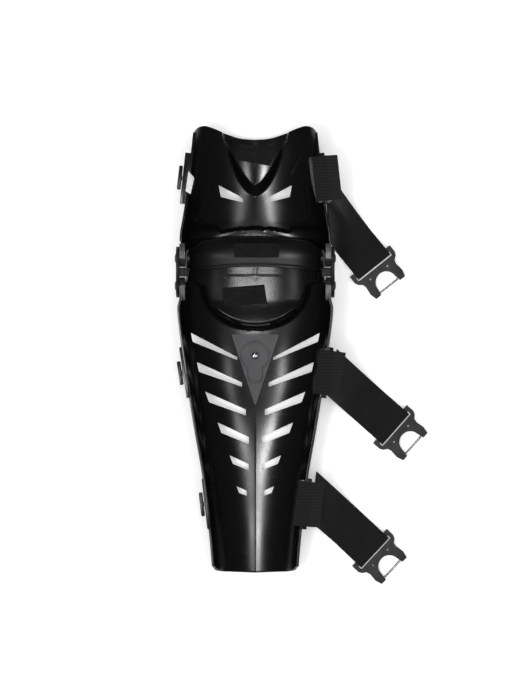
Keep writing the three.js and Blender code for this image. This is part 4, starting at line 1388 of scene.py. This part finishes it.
shell_black = shell_plastic("shell_plastic", 0.16, 0.24)
plate_black = shell_plastic("satin_plastic", 0.34, 0.42)
badge_grey = grained_plastic("badge_grey", (0.043, 0.043, 0.045), (0.057, 0.057, 0.06), 0.55)
buckle_grey = grained_plastic("buckle_grey", (0.01, 0.01, 0.011), (0.02, 0.02, 0.0215), 0.55)
link_black = grained_plastic("link_black", (0.005, 0.005, 0.0054), (0.011, 0.011, 0.0115), 0.4, 0.2)
strap_webbing = webbing()
fold_webbing = loop_webbing()
patch_pile = hook_pile()
rivet_steel = steel("rivet_steel", (300, 300, 300), (0.02, 0.02, 0.021), (0.07, 0.07, 0.072))
screw_steel = steel("screw_steel", (300, 300, 300), (0.16, 0.165, 0.17), (0.34, 0.345, 0.35))
pin_steel = steel("pin_steel", (60, 60, 60), (0.5, 0.505, 0.51), (0.66, 0.67, 0.68))

dress(make_thigh_plate(), shell_black, "thigh", "thigh_plate")
dress(make_knee_plate(), plate_black, "knee", "knee_plate")
dress(make_shin_plate(), shell_black, "shin", "shin_plate")
dress(make_badge(), badge_grey, "shin", "badge_plate")
dress(make_screw(), screw_steel, "shin", "badge_screw")

patch_table = [
    ("thigh", "thigh", ThighSurface, shell_wall, THIGH_PATCH, thigh_length),
    ("knee", "knee", PlateSurface, plate_wall, KNEE_PATCH, plate_reach_up),
    ("bowl", "shin", ShinSurface, shell_wall, BOWL_PATCH, -shin_length),
]
for name, body, surface, wall, shares, length in patch_table:
    corners = [Vector((x * knee_half_width, y * length)) for x, y in shares]
    pile, flat = make_patch(f"pile_{name}", surface, corners, wall + patch_seat)
    dress(pile, patch_pile, body, f"patch_{name}")

for side_name, side in SIDES.items():
    dress(make_link(f"side_link_{side_name}", side), link_black, "knee", f"link_{side_name}")
    for level in ("upper", "lower"):
        rivet = make_rivet(f"pivot_rivet_{side_name}_{level}", side, level)
        dress(rivet, rivet_steel, "knee", f"rivet_{side_name}_{level}")

for name, station in STATIONS.items():
    body = station["shell"]
    dress(make_stud(f"hook_stud_{name}", station), shell_black, body, f"stud_{name}")
    dress(make_loop(f"bar_loop_{name}", station), fold_webbing, body, f"loop_{name}")
    strap, strap_length = make_strap(f"elastic_{name}", station)
    dress(strap, strap_webbing, body, f"strap_{name}")
    dress(make_buckle(f"hook_buckle_{name}", station), buckle_grey, body, f"buckle_{name}")
    dress(make_pin(f"hook_pin_{name}", station), pin_steel, body, f"pin_{name}")

make_stage()
